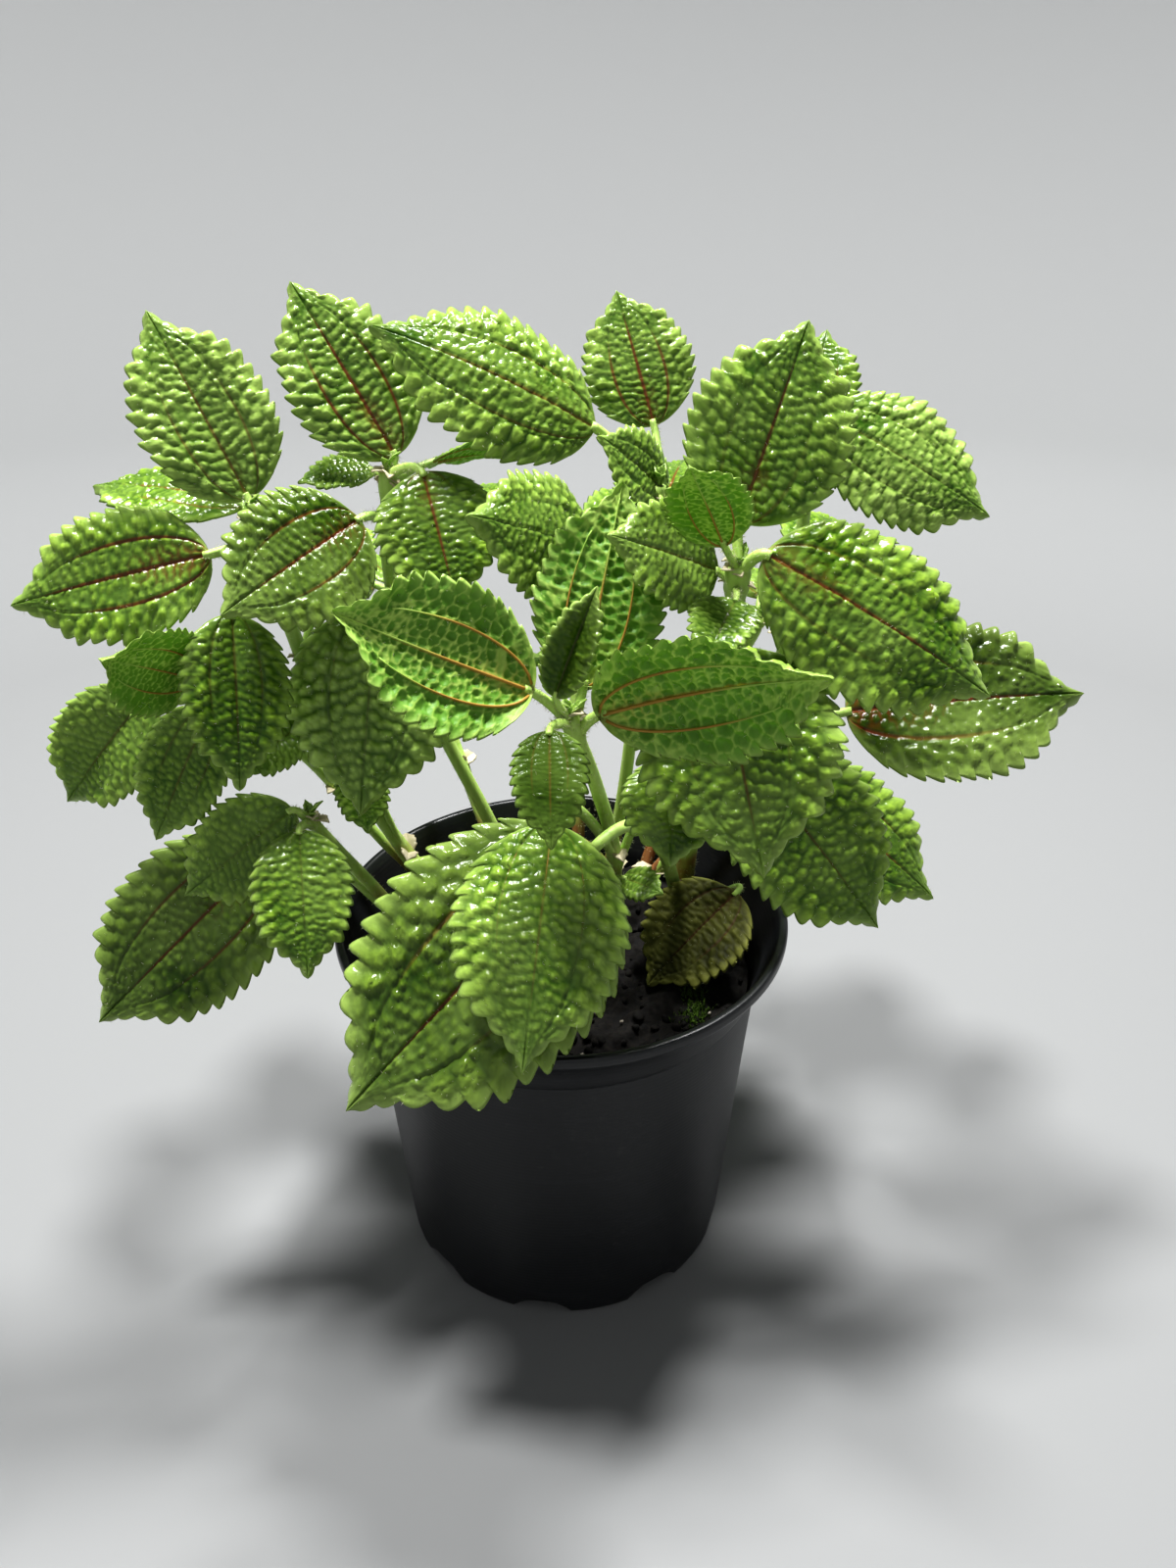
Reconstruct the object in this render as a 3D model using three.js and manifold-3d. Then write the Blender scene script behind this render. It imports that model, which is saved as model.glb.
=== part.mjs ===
// A pilea in its nursery pot: eleven leafy stems that stand in dark peat.
// Millimetres, +Z up. The origin is the middle of the pot's foot, and -Y is the front.
import * as THREE from "three";
import { mergeVertices } from "three/addons/utils/BufferGeometryUtils.js";
import Module from "manifold-3d";

const wasm = await Module();
wasm.setup();

// ---------------------------------------------------------------- driving dimensions
const POT = {
  rimRadius: 60,
  height: 104,
  baseRadius: 46.5,
  wall: 1.4,
  edge: 0.8, // how far the edges are rounded off
  lipHeight: 3.2,
  lipWidth: 2.4,
  lipStep: 1.8, // how far the lip stands out from the band under it
  collarHeight: 15, // the flared band under the lip
  collarStep: 0.9, // how far the band stands out at its lower line
  collarInset: 7.2, // from the rim's radius to the wall just under the band
  shoulder: { rise: 6, out: 2.6 }, // where the band has left the wall by its own thickness
  floorTop: 5.6,
  padRadius: 22, // the flat middle of the floor, which meets the table
  footWidth: 7, // the outer foot ring
  floorLift: 2.6, // the floor between pad and foot
  sides: 36,
};
// Drainage notches; the first one stands at this many degrees from the front.
const NOTCH = { count: 9, width: 15, height: 4.4, first: -47, sides: 8 };
const SOIL = { top: 84, mound: 3, lumps: 1.1, sides: 24, rings: [40, 26, 12], clear: 0.3 };
const STEM = {
  sides: 5,
  depth: 18, // each stem stands this deep in a plain hole in the soil
  clear: 1.0, // round the stem in its hole
  seat: 0.3, // under the stem's foot
  upright: [-4, 6], // it is upright between these heights over the soil's edge
  holeSides: 8,
};
const PETIOLE = {
  radius: 1.2, // of a blade up to the plain length
  plainLength: 40,
  thicker: 0.015, // mm of radius for each mm that the blade is longer
  sides: 4,
  stepLength: 12,
  lean: 0.6, // from the stem's direction, 0, to the blade's, 1, where it leaves the stem
  sunk: 1.2, // how far it runs into a blade that is grown onto it
  gap: 0.4, // how far it stays from any other blade
};
const BLADE = {
  thickness: 0.95,
  lateral: 0.5, // the two side veins run halfway between midrib and margin
  inner: 0.25, // crest of the panel between midrib and side vein
  bump: 0.042, // height of the quilting, as a share of the blade's width
  crests: [0.55, 1.3], // the quilting rises by these shares of the bump on even and odd rows
  sideVein: -0.4, // and sinks by these under the veins
  midrib: -0.7,
  tooth: 0.065, // how far a tooth stands out, as a share of the blade's width
  toothAt: 0.72, // where it points, as a share of its step along the margin
  toothRise: 0.3, // as a share of the bump
  firstTooth: 0.6, // the tooth next to the petiole is this much of the others
  plainUnder: 30, // a blade narrower than this has one raised panel a side, not two
};

const COLOURS = {
  pot: "#26282c",
  soil: "#1d1712",
  stem: "#8fae58",
  leaf: "#6c9f42",
  old: "#5a5230",
};

// ---------------------------------------------------------------- the shoots
// base: the blade's base point. turn: heading (0 is +X, 90 is +Y), rise and roll of the midrib's
// chord, in degrees. size: length and width. bend: droop along the midrib and fold, the angle
// that the halves are raised by. from: the share of the stem's length where the petiole starts.
// teeth: how many a side.
const leaf = (base, turn, size, [droop, fold], from, teeth) => ({
  base,
  turn,
  size,
  droop,
  fold,
  from,
  teeth,
});
const grown = (small) => ({ ...small, grown: true }); // a young leaf in its stem's own mesh
const old = (dying) => ({ ...dying, old: true });

// root: where the stem leaves the soil. path: where it runs above that.
const SHOOTS = {
  front: {
    root: [12, 6],
    radius: 2.1,
    path: [[14, 0, 118], [9, -17, 150], [3, -33, 176]],
    leaves: [
      leaf([-5, -37, 184], [-156, 31, 118], [46, 34], [14, -6], 0.97, 9),
      leaf([10, -35, 178], [-32, 22, -64], [54, 38], [18, -8], 0.95, 9),
      leaf([6, -28, 181], [66, 62, -158], [44, 30], [-10, 6], 0.96, 8),
      leaf([-1, -41, 177], [-88, -42, 2], [26, 17], [24, 14], 0.98, 7),
      leaf([-1, -33, 150], [-99, -46, -10], [56, 42], [26, -6], 0.62, 9),
      grown(leaf([0, -36, 182], [28, 66, 50], [25, 13], [16, 34], 0.99, 5)),
      grown(leaf([16, -3, 115], [-39, 2, 30], [13, 11], [12, 8], 0.35, 5)),
      leaf([28, -16, 158], [-97, -45, 0], [27, 26], [18, 6], 0.56, 6),
    ],
  },
  right: {
    root: [34, 20],
    radius: 2.9,
    path: [[35, 18, 112], [38, 5, 150], [40, -6, 184], [40, -10, 202]],
    leaves: [
      leaf([40, -6, 210], [44, 64, 38], [45, 38], [16, 8], 0.99, 9),
      leaf([45, -14, 206], [-6, -31, 54], [62, 40], [24, -4], 0.97, 9),
      leaf([36, -17, 186], [-71, -56, 26], [53, 49], [26, -4], 0.88, 9),
      leaf([44, -6, 154], [-16, -50, 55], [60, 40], [24, 6], 0.6, 9),
      leaf([9, -27, 140], [-148, -36, -40], [84, 58], [26, 8], 0.3, 9),
      old(leaf([47, 2, 107], [-147, -33, -18], [35, 31], [16, 14], 0.22, 7)),
      grown(leaf([36, -15, 208], [-126, 52, 30], [26, 19], [10, 10], 0.98, 5)),
      leaf([36, -9, 200], [-152, 24, -58], [31, 26], [16, 6], 0.95, 7),
      grown(leaf([39, -18, 197], [-112, -16, -10], [22, 16], [20, 12], 0.94, 5)),
    ],
  },
  right_back: {
    root: [26, 34],
    radius: 2.0,
    path: [[44, 30, 118], [57, 26, 160], [60, 25, 204], [60, 26, 222]],
    leaves: [
      leaf([63, 24, 227], [-8, -29, 52], [47, 34], [20, -4], 0.99, 8),
      leaf([71, 5, 159], [4, 3, 46], [61, 44], [18, 8], 0.52, 9),
      leaf([60, 14, 135], [-14, -37, 38], [53, 34], [24, 4], 0.34, 8),
      leaf([60, 32, 222], [70, 50, 10], [27, 22], [14, 8], 0.98, 6),
      leaf([64, 36, 190], [58, -8, 10], [46, 32], [26, 6], 0.7, 7),
    ],
  },
  centre: {
    root: [12, 26],
    radius: 2.0,
    path: [[17, 25, 126], [21, 21, 176], [24, 18, 212]],
    leaves: [
      leaf([9, 14, 226], [-174, 25, -50], [55, 36], [26, -6], 0.96, 9),
      leaf([23, 31, 223], [121, 58, -30], [34, 28], [12, 6], 0.97, 8),
      leaf([10, 2, 201], [-143, 23, -62], [38, 32], [18, -4], 0.86, 8),
      grown(leaf([26, 21, 209], [-150, 40, -60], [25, 20], [14, 8], 0.94, 5)),
      leaf([26, 44, 196], [78, 6, 0], [46, 33], [28, 6], 0.86, 7),
    ],
  },
  left: {
    root: [-24, 8],
    radius: 2.2,
    path: [[-42, 10, 114], [-55, 5, 147], [-62, 0, 180], [-67, -4, 211]],
    leaves: [
      leaf([-68, -1, 214], [147, 57, -34], [45, 31], [12, 10], 0.99, 8),
      leaf([-72, 8, 210], [163, 2, -10], [41, 28], [20, 4], 0.98, 8),
      leaf([-76, -9, 204], [-171, -12, -60], [45, 31], [16, 6], 0.96, 8),
      leaf([-72, -13, 192], [-86, -64, -20], [40, 25], [20, 8], 0.88, 7),
      leaf([-58, 14, 190], [100, 4, 0], [42, 30], [26, 6], 0.8, 6),
      grown(leaf([-50, -2, 148], [-75, -45, 0], [18, 14], [14, 10], 0.5, 5)),
      grown(leaf([-61, -4, 161], [-150, -30, -40], [20, 15], [14, 10], 0.6, 5)),
    ],
  },
  left_low: {
    root: [-33, 18],
    radius: 1.6,
    path: [[-50, 15, 116], [-64, 9, 142], [-75, -4, 164], [-80, -11, 172]],
    leaves: [
      leaf([-80, -12, 169], [-152, -60, -58], [37, 22], [26, 10], 0.98, 7),
      leaf([-82, -15, 177], [-118, 30, 70], [28, 24], [10, -6], 0.99, 7),
      leaf([-97, -6, 169], [-172, -49, -70], [37, 27], [24, 18], 0.96, 7),
      leaf([-66, 16, 150], [150, -12, -10], [44, 30], [26, 6], 0.6, 7),
    ],
  },
  centre_left: {
    root: [-8, 16],
    radius: 2.0,
    path: [[-20, 15, 122], [-35, 15, 160], [-41, 14, 192], [-39, 12, 217]],
    leaves: [
      leaf([-45, 5, 208], [-136, -20, -50], [40, 34], [20, 6], 0.92, 7),
      leaf([-37, 13, 220], [149, 53, -40], [45, 31], [12, 8], 0.99, 8),
      leaf([-42, 0, 189], [-101, -63, -14], [50, 42], [24, -6], 0.8, 9),
      leaf([-30, 4, 219], [-63, -56, 16], [32, 29], [24, 8], 0.99, 7),
      grown(leaf([-30, 20, 217], [40, -4, -30], [23, 19], [16, 10], 0.97, 5)),
      grown(leaf([-43, 17, 216], [-160, -4, -20], [18, 14], [14, 10], 0.97, 5)),
    ],
  },
  low_left: {
    root: [-34, -8],
    radius: 1.9,
    path: [[-46, -4, 108], [-55, -13, 130], [-59, -20, 143]],
    leaves: [
      leaf([-62, -22, 147], [-168, -37, -64], [35, 24], [20, 6], 0.98, 7),
      leaf([-60, -26, 144], [-82, -56, -6], [35, 24], [20, 6], 0.97, 7),
      leaf([-73, -8, 127], [-153, -38, -56], [62, 42], [22, 8], 0.55, 9),
    ],
  },
  back_left: {
    root: [-18, 32],
    radius: 2.0,
    path: [[-30, 46, 122], [-40, 56, 150], [-46, 62, 166]],
    leaves: [
      leaf([-54, 62, 172], [174, -8, -16], [46, 34], [28, 6], 0.98, 6),
      leaf([-46, 70, 170], [104, -10, 0], [48, 34], [30, 6], 0.98, 6),
      leaf([-44, 58, 134], [138, -34, 0], [52, 38], [26, 4], 0.6, 6),
    ],
  },
  back: {
    root: [4, 42],
    radius: 2.1,
    path: [[4, 54, 128], [2, 64, 158], [2, 68, 180]],
    leaves: [
      leaf([-4, 74, 186], [128, 2, -6], [44, 32], [28, 6], 0.98, 6),
      leaf([9, 74, 184], [46, 0, 8], [46, 33], [28, 6], 0.97, 6),
      leaf([4, 72, 146], [86, -34, 0], [54, 38], [26, 4], 0.62, 6),
    ],
  },
  back_right: {
    root: [24, 38],
    radius: 2.0,
    path: [[29, 43, 104], [43, 56, 130], [57, 62, 162]],
    leaves: [
      leaf([66, 60, 167], [6, -8, 14], [48, 34], [28, 6], 0.98, 6),
      leaf([58, 71, 166], [74, -12, 0], [46, 34], [28, 6], 0.97, 6),
      leaf([56, 60, 132], [38, -32, 0], [50, 36], [24, 4], 0.58, 6),
    ],
  },
};

// ---------------------------------------------------------------- small helpers
const rad = THREE.MathUtils.degToRad;
const vec = (p) => new THREE.Vector3(...p);

// A closed geometry as a manifold-3d solid, with its faces pointing out.
function solid(geometry) {
  const bare = geometry.clone();
  bare.deleteAttribute("normal");
  bare.deleteAttribute("uv");
  const merged = mergeVertices(bare, 1e-4);
  const build = (triVerts) =>
    new wasm.Manifold(
      new wasm.Mesh({ numProp: 3, vertProperties: merged.attributes.position.array, triVerts }),
    );
  const triangles = new Uint32Array(merged.index.array);
  const made = build(triangles);
  return made.volume() > 0 ? made : build(triangles.reverse());
}

// A solid back as a BufferGeometry.
function geometryOf(made) {
  const mesh = made.getMesh();
  const geometry = new THREE.BufferGeometry();
  geometry.setAttribute("position", new THREE.BufferAttribute(mesh.vertProperties, 3));
  geometry.setIndex(new THREE.BufferAttribute(mesh.triVerts, 1));
  geometry.computeVertexNormals();
  return geometry;
}

function material(colour, roughness) {
  return new THREE.MeshStandardMaterial({ color: colour, roughness, metalness: 0, flatShading: true });
}

function add(group, name, geometry, look) {
  const mesh = new THREE.Mesh(geometry, look);
  mesh.name = name;
  group.add(mesh);
}

// Turns a profile of [radius, height] points about the Z axis.
function turned(profile, sides) {
  const points = profile.map(([r, z]) => new THREE.Vector2(r, z));
  return new THREE.LatheGeometry(points, sides).rotateX(Math.PI / 2);
}

// A tube along a curve.
function tube(curve, radius, sides, steps) {
  const corners = Array.from({ length: sides }, (_, i) => {
    const a = (2 * Math.PI * i) / sides;
    return new THREE.Vector2(radius * Math.cos(a), radius * Math.sin(a));
  });
  return new THREE.ExtrudeGeometry(new THREE.Shape(corners), {
    extrudePath: curve,
    steps,
    bevelEnabled: false,
  });
}

// ---------------------------------------------------------------- pot
// Radius of the pot's outer wall at a height below the collar.
function wallRadius(z) {
  const top = POT.rimRadius - POT.collarInset;
  return THREE.MathUtils.lerp(POT.baseRadius, top, z / (POT.height - POT.collarHeight));
}

function potSolid() {
  const collar = POT.height - POT.collarHeight;
  const lipUnder = POT.height - POT.lipHeight;
  const foot = POT.baseRadius - POT.footWidth;
  const top = wallRadius(collar);
  const profile = [
    [0, 0],
    [POT.padRadius, 0],
    [POT.padRadius + 2, POT.floorLift],
    [foot - 2, POT.floorLift],
    [foot, 0],
    [POT.baseRadius - POT.edge, 0],
    [wallRadius(1), 1],
    [top, collar - POT.edge],
    [top + POT.collarStep, collar],
    [top + POT.shoulder.out, collar + POT.shoulder.rise],
    [POT.rimRadius - POT.lipStep, lipUnder - POT.edge / 2],
    [POT.rimRadius, lipUnder],
    [POT.rimRadius, POT.height - POT.edge],
    [POT.rimRadius - POT.edge, POT.height],
    [POT.rimRadius - POT.lipWidth, POT.height],
    [top + POT.shoulder.out - POT.wall, collar + POT.shoulder.rise],
    [top - POT.wall, collar - 1],
    [wallRadius(POT.floorTop) - POT.wall, POT.floorTop],
    [0, POT.floorTop],
  ];
  let pot = solid(turned(profile, POT.sides));
  for (let i = 0; i < NOTCH.count; i++) {
    const angle = rad(NOTCH.first + (i * 360) / NOTCH.count - 90);
    const half = NOTCH.width / 2;
    const cutter = new THREE.CylinderGeometry(half, half, 2 * POT.footWidth, NOTCH.sides);
    cutter.scale(1, 1, (2 * NOTCH.height) / NOTCH.width);
    cutter.rotateZ(Math.PI / 2).translate(POT.baseRadius + 2, 0, 0).rotateZ(angle);
    pot = pot.subtract(solid(cutter));
  }
  return pot;
}

// ---------------------------------------------------------------- soil
// Height of the peat: a low mound with crumbs.
function soilHeight(x, y) {
  const r = Math.hypot(x, y) / POT.rimRadius;
  const crumbs = Math.sin(x * 0.31 + 1.3) * Math.cos(y * 0.27) + 0.6 * Math.sin(x * 0.62 - y * 0.55);
  return SOIL.top + SOIL.mound * (1 - r * r) + SOIL.lumps * crumbs;
}

function soilSolid() {
  const floor = POT.floorTop + SOIL.clear;
  const inside = (z) => wallRadius(z) - POT.wall - SOIL.clear;
  const profile = [
    [0, floor],
    [inside(floor), floor],
    [inside(SOIL.top - 2), SOIL.top - 2],
    ...SOIL.rings.map((r) => [r, SOIL.top]),
    [0, SOIL.top],
  ];
  const geometry = turned(profile, SOIL.sides);
  const p = geometry.attributes.position;
  for (let i = 0; i < p.count; i++)
    if (p.getZ(i) > SOIL.top - 1) p.setZ(i, soilHeight(p.getX(i), p.getY(i)));
  return solid(geometry);
}

// ---------------------------------------------------------------- stems
// The stem stands upright in the soil, then follows its path.
function stemCurve({ root: [x, y], path }) {
  const heights = [-STEM.depth, ...STEM.upright];
  const points = [...heights.map((h) => new THREE.Vector3(x, y, SOIL.top + h)), ...path.map(vec)];
  return new THREE.CatmullRomCurve3(points, false, "centripetal");
}

function stemHole({ root: [x, y], radius }) {
  const low = SOIL.top - STEM.depth - STEM.seat;
  const high = SOIL.top + STEM.depth;
  const wide = radius + STEM.clear;
  const hole = new THREE.CylinderGeometry(wide, wide, high - low, STEM.holeSides);
  return hole.rotateX(Math.PI / 2).translate(x, y, (low + high) / 2);
}

// ---------------------------------------------------------------- leaf blades
// The blade's frame: u runs along the midrib's chord, s to the left, n out of the upper face.
function bladeFrame({ turn: [heading, rise, roll] }) {
  const h = rad(heading);
  const e = rad(rise);
  const r = rad(roll);
  const u = new THREE.Vector3(Math.cos(h) * Math.cos(e), Math.sin(h) * Math.cos(e), Math.sin(e));
  const side = new THREE.Vector3(-Math.sin(h), Math.cos(h), 0);
  const up = new THREE.Vector3().crossVectors(u, side);
  const s = side.clone().multiplyScalar(Math.cos(r)).addScaledVector(up, Math.sin(r));
  const n = new THREE.Vector3().crossVectors(u, s);
  return { u, s, n };
}

// Half width of the ovate outline between its teeth, at a share t of the length: full at 0.4.
function halfWidth(t, width) {
  const shape = (x) => Math.pow(x, 0.55) * Math.pow(1 - x, 0.82);
  return width * (0.5 - BLADE.tooth) * (shape(t) / shape(0.4));
}

// A point of the blade's middle surface. t: share of the length, v: share of the half width,
// out: how far past the outline, in mm, rise: height of the quilting above the flat blade.
function bladePoint(one, frame, t, v, out, rise) {
  const [length, width] = one.size;
  const across = Math.abs(v) * halfWidth(t, width) + out;
  const tilt = rad(one.fold);
  const y = Math.sign(v) * (across * Math.cos(tilt) - rise * Math.sin(tilt));
  const z = across * Math.sin(tilt) + rise * Math.cos(tilt);
  const droop = rad(one.droop || 0.01);
  const angle = droop * (0.5 - t);
  const along = (length / droop) * (Math.sin(droop / 2) - Math.sin(angle)) - z * Math.sin(angle);
  const lift = (length / droop) * (Math.cos(angle) - Math.cos(droop / 2)) + z * Math.cos(angle);
  return vec(one.base)
    .addScaledVector(frame.u, along)
    .addScaledVector(frame.s, y)
    .addScaledVector(frame.n, lift);
}

// Rows of points across the blade: between two rows each margin has one tooth.
function bladeRows(one, frame) {
  const width = one.size[1];
  const bump = BLADE.bump * width;
  const tooth = BLADE.tooth * width;
  const rows = [];
  for (let i = 0; i <= one.teeth; i++) {
    const t = i / one.teeth;
    const crest = BLADE.crests[i % 2];
    const point = (v, rise) => ({ v, p: bladePoint(one, frame, t, v, 0, rise * bump) });
    const panel =
      width < BLADE.plainUnder
        ? [[BLADE.lateral, crest]]
        : [[BLADE.inner, crest], [BLADE.lateral, BLADE.sideVein]];
    const left = panel.map(([v, rise]) => point(-v, rise)).reverse();
    const right = panel.map(([v, rise]) => point(v, rise));
    const ends = i === 0 || i === one.teeth;
    const across = [point(-1, 0), ...left, point(0, BLADE.midrib), ...right, point(1, 0)];
    const row = ends ? [point(0, 0)] : across;
    rows.push(row);
    if (i === one.teeth) break;
    const at = (i + BLADE.toothAt) / one.teeth;
    const reach = tooth * (i === 0 ? BLADE.firstTooth : 1);
    const rise = BLADE.toothRise * bump;
    row.push({ v: 1.4, tooth: true, p: bladePoint(one, frame, at, 1, reach, rise) });
    row.unshift({ v: -1.4, tooth: true, p: bladePoint(one, frame, at, -1, reach, rise) });
  }
  return rows;
}

// A closed blade: both faces share one splitting into triangles, a thickness apart.
function bladeGeometry(one) {
  const frame = bladeFrame(one);
  const rows = bladeRows(one, frame);
  const points = rows.flat();
  points.forEach((point, i) => (point.index = i));
  const faces = [];
  for (let i = 0; i + 1 < rows.length; i++) {
    const low = rows[i];
    const high = rows[i + 1].filter((point) => !point.tooth);
    let a = 0;
    let b = 0;
    while (a + 1 < low.length || b + 1 < high.length) {
      const stepLow = b + 1 >= high.length || (a + 1 < low.length && low[a + 1].v <= high[b + 1].v);
      const third = stepLow ? low[a + 1] : high[b + 1];
      faces.push([low[a].index, third.index, high[b].index]);
      if (stepLow) a++;
      else b++;
    }
  }
  const left = rows.flatMap((row) => (row.length > 1 ? row.slice(0, row[0].tooth ? 2 : 1).reverse() : row));
  const right = rows.flatMap((row) => (row.length > 1 ? row.slice(row[0].tooth ? -2 : -1) : row));
  // The first row holds the base point between its two teeth.
  const base = rows[0][1];
  const rest = (side) => side.filter((q) => q !== base);
  const rim = [base, ...rest(left), ...rest(right).reverse().slice(1)];

  const flat = new THREE.BufferGeometry();
  flat.setAttribute("position", new THREE.Float32BufferAttribute(points.flatMap((q) => q.p.toArray()), 3));
  flat.setIndex(faces.flat());
  flat.computeVertexNormals();
  const normals = flat.attributes.normal;
  const face = (sign) =>
    points.flatMap((q, i) =>
      q.p
        .clone()
        .addScaledVector(new THREE.Vector3().fromBufferAttribute(normals, i), (sign * BLADE.thickness) / 2)
        .toArray(),
    );
  const count = points.length;
  const walls = rim.flatMap((q, i) => {
    const next = rim[(i + 1) % rim.length].index;
    return [q.index, next, q.index + count, next, next + count, q.index + count];
  });
  const closed = new THREE.BufferGeometry();
  closed.setAttribute("position", new THREE.Float32BufferAttribute([...face(1), ...face(-1)], 3));
  const under = faces.flatMap(([a, b, c]) => [a + count, c + count, b + count]);
  closed.setIndex([...faces.flat(), ...under, ...walls]);
  return closed;
}

// The petiole leaves the stem and meets the blade in line with its midrib.
function petioleCurve(one, curve) {
  const { u, n } = bladeFrame(one);
  const half = rad(one.droop / 2);
  const ahead = u.clone().multiplyScalar(Math.cos(half)).addScaledVector(n, Math.sin(half));
  const start = curve.getPoint(one.from);
  const reach = one.grown ? PETIOLE.sunk : -PETIOLE.gap;
  const end = vec(one.base).addScaledVector(ahead, reach);
  const pull = start.distanceTo(end) / 3;
  const toBlade = end.clone().sub(start).normalize();
  const away = curve.getTangent(one.from).lerp(toBlade, PETIOLE.lean).multiplyScalar(pull).add(start);
  return new THREE.CubicBezierCurve3(start, away, end.clone().addScaledVector(ahead, -pull), end);
}

// ---------------------------------------------------------------- the whole plant
const plant = new THREE.Group();
let soil = soilSolid();

add(plant, "pot", geometryOf(potSolid()), material(COLOURS.pot, 0.55));

for (const [name, shoot] of Object.entries(SHOOTS)) {
  const curve = stemCurve(shoot);
  const steps = 3 + shoot.path.length;
  let stem = solid(tube(curve, shoot.radius, STEM.sides, steps));
  soil = soil.subtract(solid(stemHole(shoot)));
  let number = 0;
  for (const one of shoot.leaves) {
    const stalkCurve = petioleCurve(one, curve);
    const stalkSteps = Math.max(2, Math.round(stalkCurve.getLength() / PETIOLE.stepLength));
    const longer = Math.max(0, one.size[0] - PETIOLE.plainLength);
    const stalkRadius = PETIOLE.radius + PETIOLE.thicker * longer;
    const stalk = tube(stalkCurve, stalkRadius, PETIOLE.sides, stalkSteps);
    stem = stem.add(solid(stalk));
    const blade = solid(bladeGeometry(one));
    if (one.grown) {
      stem = stem.add(blade);
      continue;
    }
    number++;
    const colour = one.old ? COLOURS.old : COLOURS.leaf;
    add(plant, `leaf_${name}_${number}`, geometryOf(blade), material(colour, 0.5));
  }
  add(plant, `stem_${name}`, geometryOf(stem), material(COLOURS.stem, 0.6));
}

add(plant, "soil", geometryOf(soil), material(COLOURS.soil, 0.95));

export default plant;
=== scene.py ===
# %% [markdown]
# # A potted pilea
# The subject is a young pilea in the thin black pot that it was sold in: eleven stems, leaves
# whose blades are quilted like padding, and dark peat. The solids of pot, peat, stems and leaf
# blades are already packed, at their real size. This lesson dresses them: each one gives way to
# a finer surface that keeps its place and form. We first load the solids.

# %% Load the imported solids
import math

import bmesh
import bpy
import numpy as np
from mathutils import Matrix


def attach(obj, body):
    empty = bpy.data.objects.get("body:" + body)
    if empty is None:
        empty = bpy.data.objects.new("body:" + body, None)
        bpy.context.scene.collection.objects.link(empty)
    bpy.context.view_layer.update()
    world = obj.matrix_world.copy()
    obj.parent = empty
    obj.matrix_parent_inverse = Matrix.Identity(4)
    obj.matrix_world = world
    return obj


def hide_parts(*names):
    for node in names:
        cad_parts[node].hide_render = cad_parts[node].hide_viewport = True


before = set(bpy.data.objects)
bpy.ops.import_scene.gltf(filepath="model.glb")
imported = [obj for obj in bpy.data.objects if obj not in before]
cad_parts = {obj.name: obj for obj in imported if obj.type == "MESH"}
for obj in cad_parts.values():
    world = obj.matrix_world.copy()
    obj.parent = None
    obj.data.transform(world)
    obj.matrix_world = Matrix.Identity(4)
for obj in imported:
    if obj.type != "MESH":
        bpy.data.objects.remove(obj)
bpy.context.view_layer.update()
MM = 0.001  # shapes are worked out in millimetres and stand in the scene in metres

# %% [markdown]
# ## The camera
# The picture was taken from a little above the plant, at about arm's length. A pot's rim is a
# circle, so the ellipse that it makes in a picture gives the camera's height and tilt. The tilt
# is 29 degrees, and the lens is that of a phone: 27 mm on a sensor 36 mm long.

# %% Camera
CAMERA = {"place": (7, -259, 286), "tilt": 29.2, "lens": 27.0, "sensor": 36.0}

view = bpy.data.cameras.new("camera")
view.lens = CAMERA["lens"]
view.sensor_width = CAMERA["sensor"]
camera = bpy.data.objects.new("camera", view)
camera.location = np.array(CAMERA["place"]) * MM
camera.rotation_euler = (math.radians(90 - CAMERA["tilt"]), 0, 0)
bpy.context.scene.collection.objects.link(camera)
bpy.context.scene.camera = camera
bpy.context.scene.view_settings.view_transform = "Standard"
bpy.context.scene.view_settings.look = "Medium High Contrast"
print("camera", CAMERA)

# %% [markdown]
# ## Colours and nodes
# Colours are written as the sRGB hex values that a picture editor shows. The renderer adds up
# light, so it needs linear values, and one function turns them. A second one adds a node
# with its settings and inputs. Every finish here is a few paints over each other and one shader
# at the end, so a third function lays a paint over another and a fourth ends the material.

# %% Colour and node helpers
def linear(colour):
    """sRGB hex to linear RGBA: c / 12.92 up to 0.04045, then ((c + 0.055) / 1.055) ** 2.4."""
    c = np.array([int(colour[i : i + 2], 16) for i in (1, 3, 5)]) / 255
    return (*np.where(c <= 0.04045, c / 12.92, ((c + 0.055) / 1.055) ** 2.4), 1.0)


def add_node(tree, kind, inputs=(), out=0, **settings):
    """Adds a shader node and gives one of its outputs. Of the inputs, a socket is linked, a hex
    colour is set as linear, and any other value is set as it is."""
    node = tree.nodes.new("ShaderNode" + kind)
    for name, value in settings.items():
        setattr(node, name, value)
    for name, value in dict(inputs).items():
        if isinstance(value, bpy.types.NodeSocket):
            tree.links.new(value, node.inputs[name])
        else:
            node.inputs[name].default_value = linear(value) if isinstance(value, str) else value
    return node.outputs[out] if node.outputs else None


def paint(tree, below, above, share, limits=None):
    """One colour over another by a share. With limits (low, high, least, most), the upper one
    has a share from least, where the value is low, to most, where it is high."""
    if limits:
        names = ("From Min", "From Max", "To Min", "To Max")
        share = add_node(tree, "MapRange", {"Value": share, **dict(zip(names, limits))})
    return add_node(tree, "Mix", {0: share, 6: below, 7: above}, 2, data_type="RGBA")


def new_material(name):
    """A material, its node tree, and a first node that gives the place on the object."""
    made = bpy.data.materials.new(name)
    made.use_nodes = True
    made.node_tree.nodes.clear()
    return made, made.node_tree, add_node(made.node_tree, "TexCoord", out="Object")


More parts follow.
